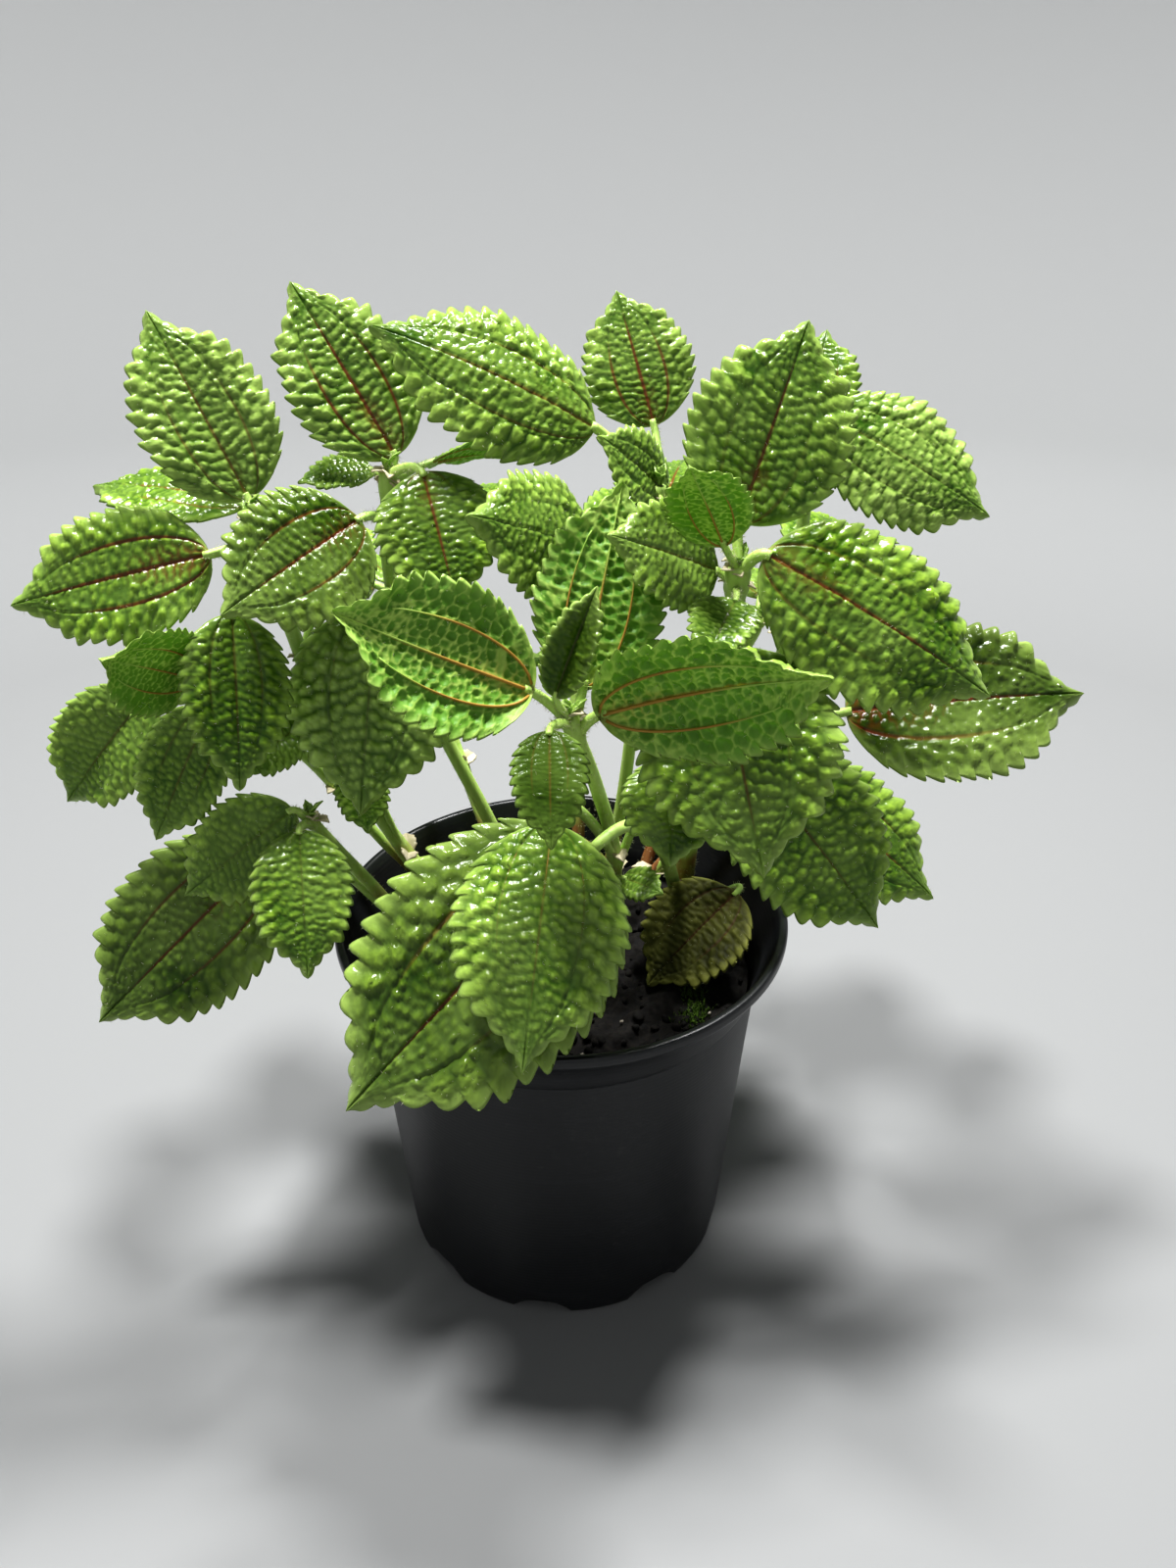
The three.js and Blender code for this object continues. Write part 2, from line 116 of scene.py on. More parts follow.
def finished(made, skin, tint=None, through=0.0):
    """Ends a material with a Principled shader, mixed with a Translucent one of a tint where a
    share of the light goes through."""
    tree = made.node_tree
    body = add_node(tree, "BsdfPrincipled", skin)
    if through:
        behind = add_node(tree, "BsdfTranslucent", {"Color": tint})
        body = add_node(tree, "MixShader", {0: through, 1: body, 2: behind})
    add_node(tree, "OutputMaterial", {"Surface": body})
    return made


print("#6c9f42 is", [round(c, 3) for c in linear("#6c9f42")])

# %% [markdown]
# ## Lamps and sky
# Two ceiling lamps lit the plant, one over its left side and one behind its right side, so its
# shadows lie close round the pot and each bump of the leaves has a small highlight on top. Two
# round soft lamps do that, and a wide weak one over the camera keeps the near side from going
# dark. The sky is a pale grey that fills the shadows a little.

# %% Lamps and sky
SKY = {"colour": "#e4e8ec", "strength": 0.15}
LAMPS = {  # place and size in metres, and power in watts
    "lamp_left": ((-0.34, 0.16, 1.5), 0.24, 32),
    "lamp_right": ((0.3, 0.46, 1.45), 0.24, 32),
    "lamp_front": ((-0.1, -1.0, 1.3), 1.4, 2),
}
AIM = np.array([0, 0, 0.15])  # the lamps point at the middle of the plant

for name, (place, size, power) in LAMPS.items():
    light = bpy.data.lights.new(name, "AREA")
    light.shape, light.size, light.energy = "DISK", size, power
    holder = bpy.data.objects.new(name, light)
    holder.location = place
    direction = AIM - np.array(place)
    yaw = math.atan2(direction[1], direction[0]) - math.pi / 2
    tilt = math.acos(-direction[2] / np.linalg.norm(direction))
    holder.rotation_euler = (tilt, 0, yaw)
    bpy.context.scene.collection.objects.link(holder)

sky = bpy.data.worlds.new("sky")
sky.use_nodes = True
background = sky.node_tree.nodes["Background"].inputs
background["Color"].default_value = linear(SKY["colour"])
background["Strength"].default_value = SKY["strength"]
bpy.context.scene.world = sky
print(len(LAMPS), "lamps and a sky")

# %% [markdown]
# ## From a grid of points to a closed piece
# Every surface here is a grid: rows of points, and quads between them. A tube's last column
# repeats its first and a leaf's rows shrink to one point at its tip, so points that meet are
# welded afterwards, which closes seams and poles. A surface can carry values for its points,
# such as how deep it lies in a crease, and the materials read them by name.

# %% Surfaces
def surface(points, flip=False, slot=0, **values):
    """One surface as a dictionary. points is (rows, columns, 3) in mm, with faces that point
    along row direction x column direction, or the other way with flip. A value is a number or
    an array for every point."""
    rows, columns = points.shape[:2]
    index = np.arange(rows * columns).reshape(rows, columns)
    quads = np.stack([index[:-1, :-1], index[1:, :-1], index[1:, 1:], index[:-1, 1:]], -1)
    quads = quads.reshape(-1, 4)[:, :: -1 if flip else 1]
    shaped = {k: np.broadcast_to(v, (rows, columns)).ravel() for k, v in values.items()}
    return {"points": points.reshape(-1, 3), "faces": quads, "slot": slot, "values": shaped}


def unit(v):
    """v divided by its length, along the last axis."""
    return v / np.maximum(np.linalg.norm(v, axis=-1, keepdims=True), 1e-12)


def smooth_step(x, low, high):
    """0 under low, 1 over high, and 3 x^2 - 2 x^3 between."""
    x = np.clip((x - low) / (high - low), 0, 1)
    return x * x * (3 - 2 * x)


print("a smooth step is", smooth_step(0.25, 0, 1), "a quarter of the way up")

# %% Pieces
WELD = 2e-6  # metres
PIECES = []


def put_mesh(name, surfaces, materials):
    """Joins surfaces into one welded, smooth mesh object with their values and materials."""
    starts = np.cumsum([0] + [len(s["points"]) for s in surfaces])
    points = np.concatenate([s["points"] for s in surfaces]) * MM
    faces = np.concatenate([s["faces"] + start for s, start in zip(surfaces, starts)])
    mesh = bpy.data.meshes.new(name)
    mesh.from_pydata(points, [], faces)
    slots = np.concatenate([np.full(len(s["faces"]), s["slot"]) for s in surfaces])
    mesh.polygons.foreach_set("material_index", slots.astype(np.int32))
    for key in sorted({key for s in surfaces for key in s["values"]}):
        data = [s["values"].get(key, np.zeros(len(s["points"]))) for s in surfaces]
        layer = mesh.attributes.new(key, "FLOAT", "POINT")
        layer.data.foreach_set("value", np.concatenate(data).astype(np.float32))
    welded = bmesh.new()
    welded.from_mesh(mesh)
    bmesh.ops.remove_doubles(welded, verts=welded.verts, dist=WELD)
    welded.to_mesh(mesh)
    welded.free()
    mesh.shade_smooth()
    for finish in materials:
        mesh.materials.append(finish)
    piece = bpy.data.objects.new(name, mesh)
    bpy.context.scene.collection.objects.link(piece)
    return piece


def put_piece(name, surfaces, materials, replaced):
    """A piece of the plant: it rides on the one body, stands for the replaced solids, which it
    hides, and takes the finishes that it is given."""
    piece = put_mesh(name, surfaces, materials)
    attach(piece, "root")
    if replaced:
        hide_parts(*replaced)
    PIECES.append(piece)


print("surfaces are welded within", WELD, "m")

# %% [markdown]
# ## The floor
# A plain floor that ends in a horizon would draw a line behind the plant. In a photo studio the
# floor bends up into the wall, and here it does so all round, so that every view has the same
# plain pale ground. It is a line from the middle out and up, turned round Z, and it isn't one of
# the plant's pieces. Its paint is paler far away, where less light falls.

# %% Floor
FLOOR = {"flat": 1100, "bend": 900, "top": 1900, "drop": 0.4}  # the foot stands just over it
BOARD = {"near": "#777878", "far": "#bbbcbc", "distances": (0.5, 2.2)}  # the last in metres

bend = np.linspace(0, np.pi / 2, 24)
reach = np.concatenate([[0, FLOOR["flat"] / 2], FLOOR["flat"] + FLOOR["bend"] * np.sin(bend)])
rise = np.concatenate([[0, 0], FLOOR["bend"] * (1 - np.cos(bend))])
reach, rise = np.append(reach, reach[-1])[:, None], np.append(rise, FLOOR["top"])[:, None]
turn = np.linspace(0, 2 * np.pi, 97)[None, :]
rise = rise - FLOOR["drop"] + 0 * turn
ground = np.stack([reach * np.cos(turn), reach * np.sin(turn), rise], -1)

board, tree, away = new_material("painted_board_matt")
away = add_node(tree, "VectorMath", {0: away}, "Value", operation="LENGTH")
coat = paint(tree, BOARD["near"], BOARD["far"], away, BOARD["distances"])
board = finished(board, {"Base Color": coat, "Roughness": 0.7})
put_mesh("floor", [surface(ground)], [board])
print("floor", FLOOR["flat"] / 1000, "m to where it bends up")

# %% [markdown]
# ## The plan of the plant
# Here are the same shoots as in the solids. The root, the radius and the path give the line of
# each stem. Then comes a row for each leaf: the point where its blade begins, the heading, rise
# and roll of its midrib, its length and width, its droop and fold, and the place on the stem
# where its stalk starts. The leaves of one plant differ with their age and the light that they
# get, so a row may go on with the leaf's tone, how red its main veins are, and how large and how
# high its bumps are. A tone under 0 paints a darker green, which is painted shade on a leaf in
# shade; a tone over 0 paints a paler green on the crests, which is the colour of a young leaf and
# also painted light on a leaf that gets more light. Last, the leaves that grow out of the stem's
# own solid are marked.

# %% Shoots and leaves
SOIL_TOP = 84.0  # height of the peat at the pot's wall
STEM_DEPTH = 18.0
UPRIGHT = (-4.0, 6.0)  # the stems stand upright between these heights over the peat
# tone: under 0 painted shade, over 0 a young green that is also painted light
PLAIN = {"tone": 0.0, "red": 0.85, "grain": 1.0, "relief": 1.0}
YOUNG, GROWN = (0.5, 0.3), True


def leaf(base, turn, size, bend, start, looks=(), grown=False):
    """One leaf's numbers under their names. The looks that it doesn't name are the plain ones."""
    droop, fold = np.radians(bend)
    base, turn = np.array(base, float), np.radians(turn)
    one = {"base": base, "turn": turn, "size": size, "droop": droop, "fold": fold}
    return {**one, "start": start, "grown": grown, **PLAIN, **dict(zip(PLAIN, looks))}


def shoot(root, radius, path, *rows):
    """One stem's numbers under their names, with a leaf for each row."""
    return {"root": root, "radius": radius, "path": path, "leaves": [leaf(*row) for row in rows]}


SHOOTS = {
    "front": shoot(
        (12, 6), 2.1, [(14, 0, 118), (9, -17, 150), (3, -33, 176)],
        ((-5, -37, 184), (-156, 31, 118), (46, 34), (14, -6), 0.97, (0, 0.9, 0.95)),
        ((10, -35, 178), (-32, 22, -64), (54, 38), (18, -8), 0.95, (0, 0.9, 1.05, 1.3)),
        ((6, -28, 181), (66, 62, -158), (44, 30), (-10, 6), 0.96, (0.3, 0.6, 1.15)),
        ((-1, -41, 177), (-88, -42, 2), (26, 17), (24, 14), 0.98, (-1.4, 0.35, 0.7)),
        ((-1, -33, 150), (-99, -46, -10), (56, 42), (26, -6), 0.62, (0.3, 0.35, 0.9)),
        ((0, -36, 182), (28, 66, 50), (25, 13), (16, 34), 0.99, (-1.1, 0.3, 0.8), GROWN),
        ((16, -3, 115), (-39, 2, 30), (13, 11), (12, 8), 0.35, YOUNG, GROWN),
        ((28, -16, 158), (-97, -45, 0), (27, 26), (18, 6), 0.56, (-0.6, 0.3, 1, 0.6)),
    ),
    "right": shoot(
        (34, 20), 2.9, [(35, 18, 112), (38, 5, 150), (40, -6, 184), (40, -10, 202)],
        ((40, -6, 210), (44, 64, 38), (45, 38), (16, 8), 0.99, (0.5,)),
        ((45, -14, 206), (-6, -31, 54), (62, 40), (24, -4), 0.97, (-0.1, 0.85, 0.8)),
        ((36, -17, 186), (-71, -56, 26), (53, 49), (26, -4), 0.88, (-0.3, 0.6, 1.1)),
        ((44, -6, 154), (-16, -50, 55), (60, 40), (24, 6), 0.6, (0, 0.5)),
        ((9, -27, 140), (-148, -36, -40), (84, 58), (26, 8), 0.3, (-0.8, 1.0, 0.8)),
        ((47, 2, 107), (-147, -33, -18), (35, 31), (16, 14), 0.22, (-0.4, 0.8, 1, 1.3)),
        ((36, -15, 208), (-126, 52, 30), (26, 19), (10, 10), 0.98, YOUNG, GROWN),
        ((36, -9, 200), (-152, 24, -58), (31, 26), (16, 6), 0.95, (-0.5, 0.4)),
        ((39, -18, 197), (-112, -16, -10), (22, 16), (20, 12), 0.94, YOUNG, GROWN),
    ),
    "right_back": shoot(
        (26, 34), 2.0, [(44, 30, 118), (57, 26, 160), (60, 25, 204), (60, 26, 222)],
        ((63, 24, 227), (-8, -29, 52), (47, 34), (20, -4), 0.99, (1.25, 0.3, 0.8)),
        ((71, 5, 159), (4, 3, 46), (61, 44), (18, 8), 0.52, (-1.4, 1.3, 0.85)),
        ((60, 14, 135), (-14, -37, 38), (53, 34), (24, 4), 0.34, (0, 0.85, 0.7)),
        ((60, 32, 222), (70, 50, 10), (27, 22), (14, 8), 0.98),
        ((64, 36, 190), (58, -8, 10), (46, 32), (26, 6), 0.7),
    ),
    "centre": shoot(
        (12, 26), 2.0, [(17, 25, 126), (21, 21, 176), (24, 18, 212)],
        ((9, 14, 226), (-174, 25, -50), (55, 36), (26, -6), 0.96, (0.4, 0.6, 0.8)),
        ((23, 31, 223), (121, 58, -30), (34, 28), (12, 6), 0.97, (0.7, 1.0, 0.85)),
        ((10, 2, 201), (-143, 23, -62), (38, 32), (18, -4), 0.86, (0.4, 0.15, 0.9)),
        ((26, 21, 209), (-150, 40, -60), (25, 20), (14, 8), 0.94, YOUNG, GROWN),
        ((26, 44, 196), (78, 6, 0), (46, 33), (28, 6), 0.86),
    ),
    "left": shoot(
        (-24, 8), 2.2, [(-42, 10, 114), (-55, 5, 147), (-62, 0, 180), (-67, -4, 211)],
        ((-68, -1, 214), (147, 57, -34), (45, 31), (12, 10), 0.99, (1.1, 0.6)),
        ((-72, 8, 210), (163, 2, -10), (41, 28), (20, 4), 0.98),
        ((-76, -9, 204), (-171, -12, -60), (45, 31), (16, 6), 0.96, (0, 1.4, 0.9)),
        ((-72, -13, 192), (-86, -64, -20), (40, 25), (20, 8), 0.88, (-0.1, 0.4)),
        ((-58, 14, 190), (100, 4, 0), (42, 30), (26, 6), 0.8),
        ((-50, -2, 148), (-75, -45, 0), (18, 14), (14, 10), 0.5, YOUNG, GROWN),
        ((-61, -4, 161), (-150, -30, -40), (20, 15), (14, 10), 0.6, YOUNG, GROWN),
    ),
    "left_low": shoot(
        (-33, 18), 1.6, [(-50, 15, 116), (-64, 9, 142), (-75, -4, 164), (-80, -11, 172)],
        ((-80, -12, 169), (-152, -60, -58), (37, 22), (26, 10), 0.98, (0.2, 0.4)),
        ((-82, -15, 177), (-118, 30, 70), (28, 24), (10, -6), 0.99, (0.4, 0.2, 1, 0.4)),
        ((-97, -6, 169), (-172, -49, -70), (37, 27), (24, 18), 0.96, (0.2, 0.4)),
        ((-66, 16, 150), (150, -12, -10), (44, 30), (26, 6), 0.6),
    ),
    "centre_left": shoot(
        (-8, 16), 2.0, [(-20, 15, 122), (-35, 15, 160), (-41, 14, 192), (-39, 12, 217)],
        ((-45, 5, 208), (-136, -20, -50), (40, 34), (20, 6), 0.92, (-1.0,)),
        ((-37, 13, 220), (149, 53, -40), (45, 31), (12, 8), 0.99, (1.0, 1.1)),
        ((-42, 0, 189), (-101, -63, -14), (50, 42), (24, -6), 0.8, (1.25, 0.25, 1.2)),
        ((-30, 4, 219), (-63, -56, 16), (32, 29), (24, 8), 0.99),
        ((-30, 20, 217), (40, -4, -30), (23, 19), (16, 10), 0.97, YOUNG, GROWN),
        ((-43, 17, 216), (-160, -4, -20), (18, 14), (14, 10), 0.97, YOUNG, GROWN),
    ),
    "low_left": shoot(
        (-34, -8), 1.9, [(-46, -4, 108), (-55, -13, 130), (-59, -20, 143)],
        ((-62, -22, 147), (-168, -37, -64), (35, 24), (20, 6), 0.98, (0.2, 0.25)),
        ((-60, -26, 144), (-82, -56, -6), (35, 24), (20, 6), 0.97, (-0.1, 0.25)),
        ((-73, -8, 127), (-153, -38, -56), (62, 42), (22, 8), 0.55, (-1.1, 0.85, 0.85)),
    ),
    "back_left": shoot(
        (-18, 32), 2.0, [(-30, 46, 122), (-40, 56, 150), (-46, 62, 166)],
        ((-54, 62, 172), (174, -8, -16), (46, 34), (28, 6), 0.98),
        ((-46, 70, 170), (104, -10, 0), (48, 34), (30, 6), 0.98),
        ((-44, 58, 134), (138, -34, 0), (52, 38), (26, 4), 0.6),
    ),
    "back": shoot(
        (4, 42), 2.1, [(4, 54, 128), (2, 64, 158), (2, 68, 180)],
        ((-4, 74, 186), (128, 2, -6), (44, 32), (28, 6), 0.98),
        ((9, 74, 184), (46, 0, 8), (46, 33), (28, 6), 0.97),
        ((4, 72, 146), (86, -34, 0), (54, 38), (26, 4), 0.62),
    ),
    "back_right": shoot(
        (24, 38), 2.0, [(29, 43, 104), (43, 56, 130), (57, 62, 162)],
        ((66, 60, 167), (6, -8, 14), (48, 34), (28, 6), 0.98),
        ((58, 71, 166), (74, -12, 0), (46, 34), (28, 6), 0.97),
        ((56, 60, 132), (38, -32, 0), (50, 36), (24, 4), 0.58),
    ),
}

print(sum(len(s["leaves"]) for s in SHOOTS.values()), "leaves on", len(SHOOTS), "stems")

# %% [markdown]
# ## Lines for stems and stalks
# A stem passes through given points, so its line is a spline, which goes through each of them
# without overshooting. A leaf stalk, the petiole, has to leave the stem along its growth and meet
# the blade in line with the midrib: a cubic with two handles does that, because they set the two
# directions.

# %% Curves
def spline(points, t):
    """A spline through points at shares t from 0 to 1 of its segments: on each segment a cubic,
    whose two tangents weigh the neighbours by the root of their distance."""
    p = np.array(points, float)
    p = np.vstack([2 * p[0] - p[1], p, 2 * p[-1] - p[-2]])
    place = np.clip(np.asarray(t, float), 0, 1) * (len(points) - 1)
    i = np.minimum(place.astype(int), len(points) - 2)
    x = (place - i)[:, None]
    a, b, c, d = p[i], p[i + 1], p[i + 2], p[i + 3]
    ab, bc, cd = (np.linalg.norm(v, axis=1)[:, None] ** 0.5 for v in (b - a, c - b, d - c))
    m1 = ((b - a) / ab - (c - a) / (ab + bc) + (c - b) / bc) * bc
    m2 = ((c - b) / bc - (d - b) / (bc + cd) + (d - c) / cd) * bc
    return b + m1 * x + (3 * (c - b) - 2 * m1 - m2) * x**2 + (2 * (b - c) + m1 + m2) * x**3


def stem_line(stem, t):
    """Points of a stem at shares t: upright in the peat, then along its path."""
    x, y = stem["root"]
    upright = [(x, y, SOIL_TOP + h) for h in (-STEM_DEPTH, *UPRIGHT)]
    return spline(upright + stem["path"], t)


def leaf_frame(one):
    """Three directions of a blade: u along the midrib's chord, s to its left, n out of the face.
    The heading turns about Z, the rise lifts u, and the roll turns s and n about u."""
    heading, rise, roll = one["turn"]
    level = math.cos(rise)
    u = np.array([math.cos(heading) * level, math.sin(heading) * level, math.sin(rise)])
    side = np.array([-math.sin(heading), math.cos(heading), 0])
    s = side * math.cos(roll) + np.cross(u, side) * math.sin(roll)
    return u, s, np.cross(u, s)


STALK = {
    "lean": 0.6,  # how far it turns from the stem's direction to the blade's as it leaves
    "sink": 1.5,  # mm that it runs on under the blade
    "radius": 1.15,
    "plain": 40,  # a longer blade has a stalk thicker by a share of what it is longer
    "thicker": 0.015,
    "grown": 0.8,  # a young leaf's stalk is thinner
    "groove": 0.22,
    "sides": 14,
}


def stalk_line(one, stem, t):
    """A cubic with two handles, from the stem to the blade's base, at shares t:
    (1-t)^3 a + 3 (1-t)^2 t b + 3 (1-t) t^2 c + t^3 d."""
    u, _, n = leaf_frame(one)
    half = one["droop"] / 2
    ahead = u * math.cos(half) + n * math.sin(half)
    before, a, after = stem_line(stem, one["start"] + np.array([-1e-4, 0, 1e-4]))
    d = one["base"] + ahead * STALK["sink"]
    pull = np.linalg.norm(d - a) / 3
    leave = unit(after - before) * (1 - STALK["lean"]) + unit(d - a) * STALK["lean"]
    b, c = a + leave * pull, d - ahead * pull
    t = np.asarray(t, float)[:, None]
    return (1 - t) ** 3 * a + 3 * (1 - t) ** 2 * t * b + 3 * (1 - t) * t**2 * c + t**3 * d


print("the front stem ends at", stem_line(SHOOTS["front"], [1.0])[0].round(1))

# %% [markdown]
# ## Tubes
# Stems and stalks are tubes: a ring of points carried along a line. The ring must not spin on
# the way, so it is set square to one fixed direction, the one that the line runs along least.
# The radius can change along the line and round the ring, which gives swollen joints and the
# groove on the upper side of a stalk. A last ring of no radius at each end closes the tube.

# %% Tube
def tube_frame(line):
    """Two directions across a line, for each of its points."""
    along = unit(np.gradient(line, axis=0))
    least = np.linalg.svd(along, full_matrices=False)[2][-1]
    across = unit(np.cross(along, least))
    return across, np.cross(along, across)


def tube(line, radius, sides, slot=0, **values):
    """Rings of points round a line: p = line + r (a cos w + b sin w). The radius is a number,
    one for each point of the line, or a whole grid. The rings at both ends have no radius."""
    a, b = tube_frame(line)
    w = np.linspace(0, 2 * np.pi, sides + 1)[None, :, None]

    def on_rings(v):
        v = np.asarray(v, float)
        v = v if v.ndim == 2 else v.reshape(-1, 1)
        return np.broadcast_to(v, (len(line), sides + 1))

    def closed(v):
        return np.concatenate([v[:1], v, v[-1:]])

    r = on_rings(radius)[..., None]
    points = closed(line[:, None] + r * (a[:, None] * np.cos(w) + b[:, None] * np.sin(w)))
    points[0], points[-1] = line[0], line[-1]
    values = {key: closed(on_rings(v)) for key, v in values.items()}
    return surface(points, flip=True, slot=slot, **values)


print("a stalk is a tube with", STALK["sides"], "sides")

# %% [markdown]
# ## The outline of a blade
# A pilea blade is oval, widest before its middle, with a drawn-out tip and plump teeth that lean
# forward. In flat coordinates x runs along the midrib and y across it. The half width is a
# product of two powers, which gives a round base and a pointed tip. Each tooth is one arch of a
# sine. A power inside the sine moves its peak forward, and a root outside makes it plump, with a
# narrow notch between two teeth.

# %% Outline
OVAL = {"base": 0.55, "tip": 0.82, "widest": 0.4, "drawn_in": (0.7, 0.96)}
TEETH = {
    "count": 15,  # on each side of a long blade
    "full": 16.0,
    "reach": 0.055,  # how far they stand out, as a share of the width
    "pitch": 0.5,  # and no further than this share of their distance
    "peak": 0.66,
    "plump": 0.65,
    "forward": 0.65,
    "sizes": (0.7, 1.15),
}


def tooth_count(one):
    """Teeth on each side, 15 (1 - exp(-L / 16 mm)): small blades have fewer of them."""
    return round(TEETH["count"] * (1 - math.exp(-one["size"][0] / TEETH["full"])))


def half_width(t, width):
    """t^0.55 (1-t)^0.82, scaled to be full at 0.4, and drawn in near the tip."""
    t = np.clip(t, 0, 1)
    base, tip, at = OVAL["base"], OVAL["tip"], OVAL["widest"]
    arch = t**base * (1 - t) ** tip / (at**base * (1 - at) ** tip)
    return width * (0.5 - TEETH["reach"]) * arch * (1 - 0.5 * smooth_step(t, *OVAL["drawn_in"]))


def teeth_out(t, one, random):
    """How far the margin stands out at t: reach * sin(pi f^q)^0.65, where f is the share of the
    way along each tooth, and q puts the peak where it belongs. The teeth differ a little in
    size and fade at both ends."""
    length, width = one["size"]
    count = tooth_count(one)
    place = np.clip(t, 0, 1 - 1e-9) * count
    size = random.uniform(*TEETH["sizes"], count)[place.astype(int)]
    q = math.log(0.5) / math.log(TEETH["peak"])
    arch = np.sin(np.pi * (place % 1) ** q) ** TEETH["plump"]
    ends = smooth_step(t, 0.0, 0.1) * np.minimum(1, 0.1 + 3.2 * half_width(t, width) / width)
    return min(TEETH["reach"] * width, TEETH["pitch"] * length / count) * arch * size * ends


print("a blade 40 mm wide is", round(float(half_width(0.4, 40.0)), 1), "mm from midrib to teeth")

# %% [markdown]
# ## The quilting
# Between its veins the blade swells up into bumps, with tight creases where the veins hold it
# down. It could be a bump map, but here the bumps make the outline and hold the highlights, so
# they are real shape. From each side vein a plump roll runs out and forward to each tooth, and
# between the side veins and the midrib lie rows of rounder bumps. Each bump has a seed, and a
# point's height follows from how much nearer its own seed is than the next one: nothing at the
# crease, full at the crest. That gives a pattern of cells. Two seeds of one row have a shallow
# dip between them, so a row reads as one roll.

# %% Seeds of the bumps
QUILT = {
    "lateral": 0.5,  # where the side veins run, as a share of the half width
    "slant": (0.2, 0.34),
    "rolls": (0.96, 0.8, 0.63),  # where the bumps of a roll lie, as shares of the half width
    "inner": 0.72,  # distance of the inner rows, as a share of that of the teeth
    "strip": (0.225, 0.56),  # width of an inner strip and of its bumps, in the same two shares
    "jitter": 0.17,
    "dips": (0.32, 0.42),  # how deep the dips in a row are, outside and inside the side veins
    "peaks": 0.5,  # how deep the dips between the small peaks of one bump are
    "height": 0.46,
    "sizes": (0.6, 1.15),
}
INNER, OTHER_SIDE = 100, 1000  # added to a row's number, so that no two rows share one


def slant(y, width):
    """How far forward a row has run at y from the midrib: a y + b y^2 / (W / 2)."""
    a, b = QUILT["slant"]
    return a * y + b * y * y / (width / 2)


def bump_seeds(one, random):
    """Seeds as (x, y) in mm on both sides, the row of each, and how deep its row's dips are."""
    length, width = one["size"]
    count = tooth_count(one)
    pitch, grain = length / count, one["grain"]
    tooth = (np.arange(count) + TEETH["peak"]) * pitch
    edge = half_width(tooth / length, width)
    y_out = np.array(QUILT["rolls"])[:, None] * edge
    x_out = tooth - slant(edge, width) + slant(y_out, width)
    x_out[0] += TEETH["forward"] * 0.3 * pitch
    strip, bump = QUILT["strip"]
    columns = max(1, round(strip * width / (bump * pitch * grain)))
    start = np.arange(-width / 4, length, QUILT["inner"] * pitch * grain)
    share = (np.arange(columns)[:, None] + 0.5) / columns * QUILT["lateral"]
    y_in = share * half_width(np.maximum(start, 0.08 * length) / length, width)
    x_in = start + slant(y_in, width)
    numbers = (np.arange(count), x_out), (INNER + np.arange(len(start)), x_in)
    row = np.concatenate([np.broadcast_to(n, x.shape).ravel() for n, x in numbers])
    x, y = (np.concatenate([a.ravel(), b.ravel()]) for a, b in ((x_out, x_in), (y_out, y_in)))
    dip = np.tile(np.where(row < INNER, *QUILT["dips"]), 2)
    x, y, row = np.tile(x, 2), np.concatenate([y, -y]), np.concatenate([row, OTHER_SIDE + row])
    x, y = (v + random.normal(0, QUILT["jitter"] * pitch, v.size) for v in (x, y))
    keep = (x > 0) & (x < length)
    return np.stack([x, y], -1)[keep], row[keep], dip[keep]


print("rolls run", slant(20.0, 40.0), "mm forward on their way to the teeth")

# %% [markdown]
# ## The height of the bumps
# The crest value is the height as a share, and it colours the leaf too: dark in the creases,
# which is painted shade, and pale on the crests, which is painted light. Each bump is puckered
# into a few small peaks, which is the same pattern again, finer, on the points of a shaken
# lattice.

# %% Quilting
LATTICE = 61  # the shaken lattice repeats after so many steps, which is more than a blade has


def lattice_distances(x, y, step, random):
    """Distances from each point to the two nearest points of a square lattice with a step in
    mm, each of whose points is moved by chance within its own square."""
    shift = random.uniform(0.1, 0.9, (LATTICE, LATTICE, 2))
    i, j = np.floor(x / step).astype(int), np.floor(y / step).astype(int)
    apart = []
    for a in (i - 1, i, i + 1):
        for b in (j - 1, j, j + 1):
            place = shift[a % LATTICE, b % LATTICE]
            apart.append(np.hypot(x - (a + place[..., 0]) * step, y - (b + place[..., 1]) * step))
    return np.sort(apart, axis=0)[:2]


def dome(e):
    """1 - (1 - e)^1.4 for e from 0 to 1: steep at the crease and round at the crest."""
    return 1 - (1 - np.clip(e, 0, 1)) ** 1.4


def quilting(x, y, one, random):
    """Crest (0 in a crease, 1 on a crest), height in mm and cell (crest with deep dips) at flat
    points. With own, sibling and other for the distances to the nearest seed, the next in its
    row and the nearest of other rows: crest = dome(other - own) * (1 - dip * (1 -
    dome(sibling - own)))."""
    seeds, row, dip = bump_seeds(one, random)
    pitch = one["size"][0] / tooth_count(one) * one["grain"]
    apart = np.hypot(x.reshape(-1, 1) - seeds[:, 0], y.reshape(-1, 1) - seeds[:, 1])
    point, nearest = np.arange(len(apart)), apart.argmin(axis=1)
    own = apart[point, nearest]
    same = row[None, :] == row[nearest][:, None]
    other = np.where(same, np.inf, apart).min(axis=1)
    apart[point, nearest] = np.inf
    sibling = np.where(same, apart, np.inf).min(axis=1)
    ridge, bump = (dome((v - own) / (0.85 * pitch)) for v in (other, sibling))
    crest, cell = ridge * (1 - dip[nearest] * (1 - bump)), np.minimum(ridge, bump)
    size = random.uniform(*QUILT["sizes"], len(seeds))[nearest]
    crest, cell, size = (v.reshape(x.shape) for v in (crest, cell, size))
    first, second = lattice_distances(x, y, 0.42 * pitch, random)
    crest = crest * (1 - QUILT["peaks"] * (1 - dome((second - first) / (0.3 * pitch))))
    return crest, crest * size * QUILT["height"] * pitch, cell


print("a bump on a blade of 60 mm is", round(QUILT["height"] * 60 / TEETH["count"], 1), "mm high")

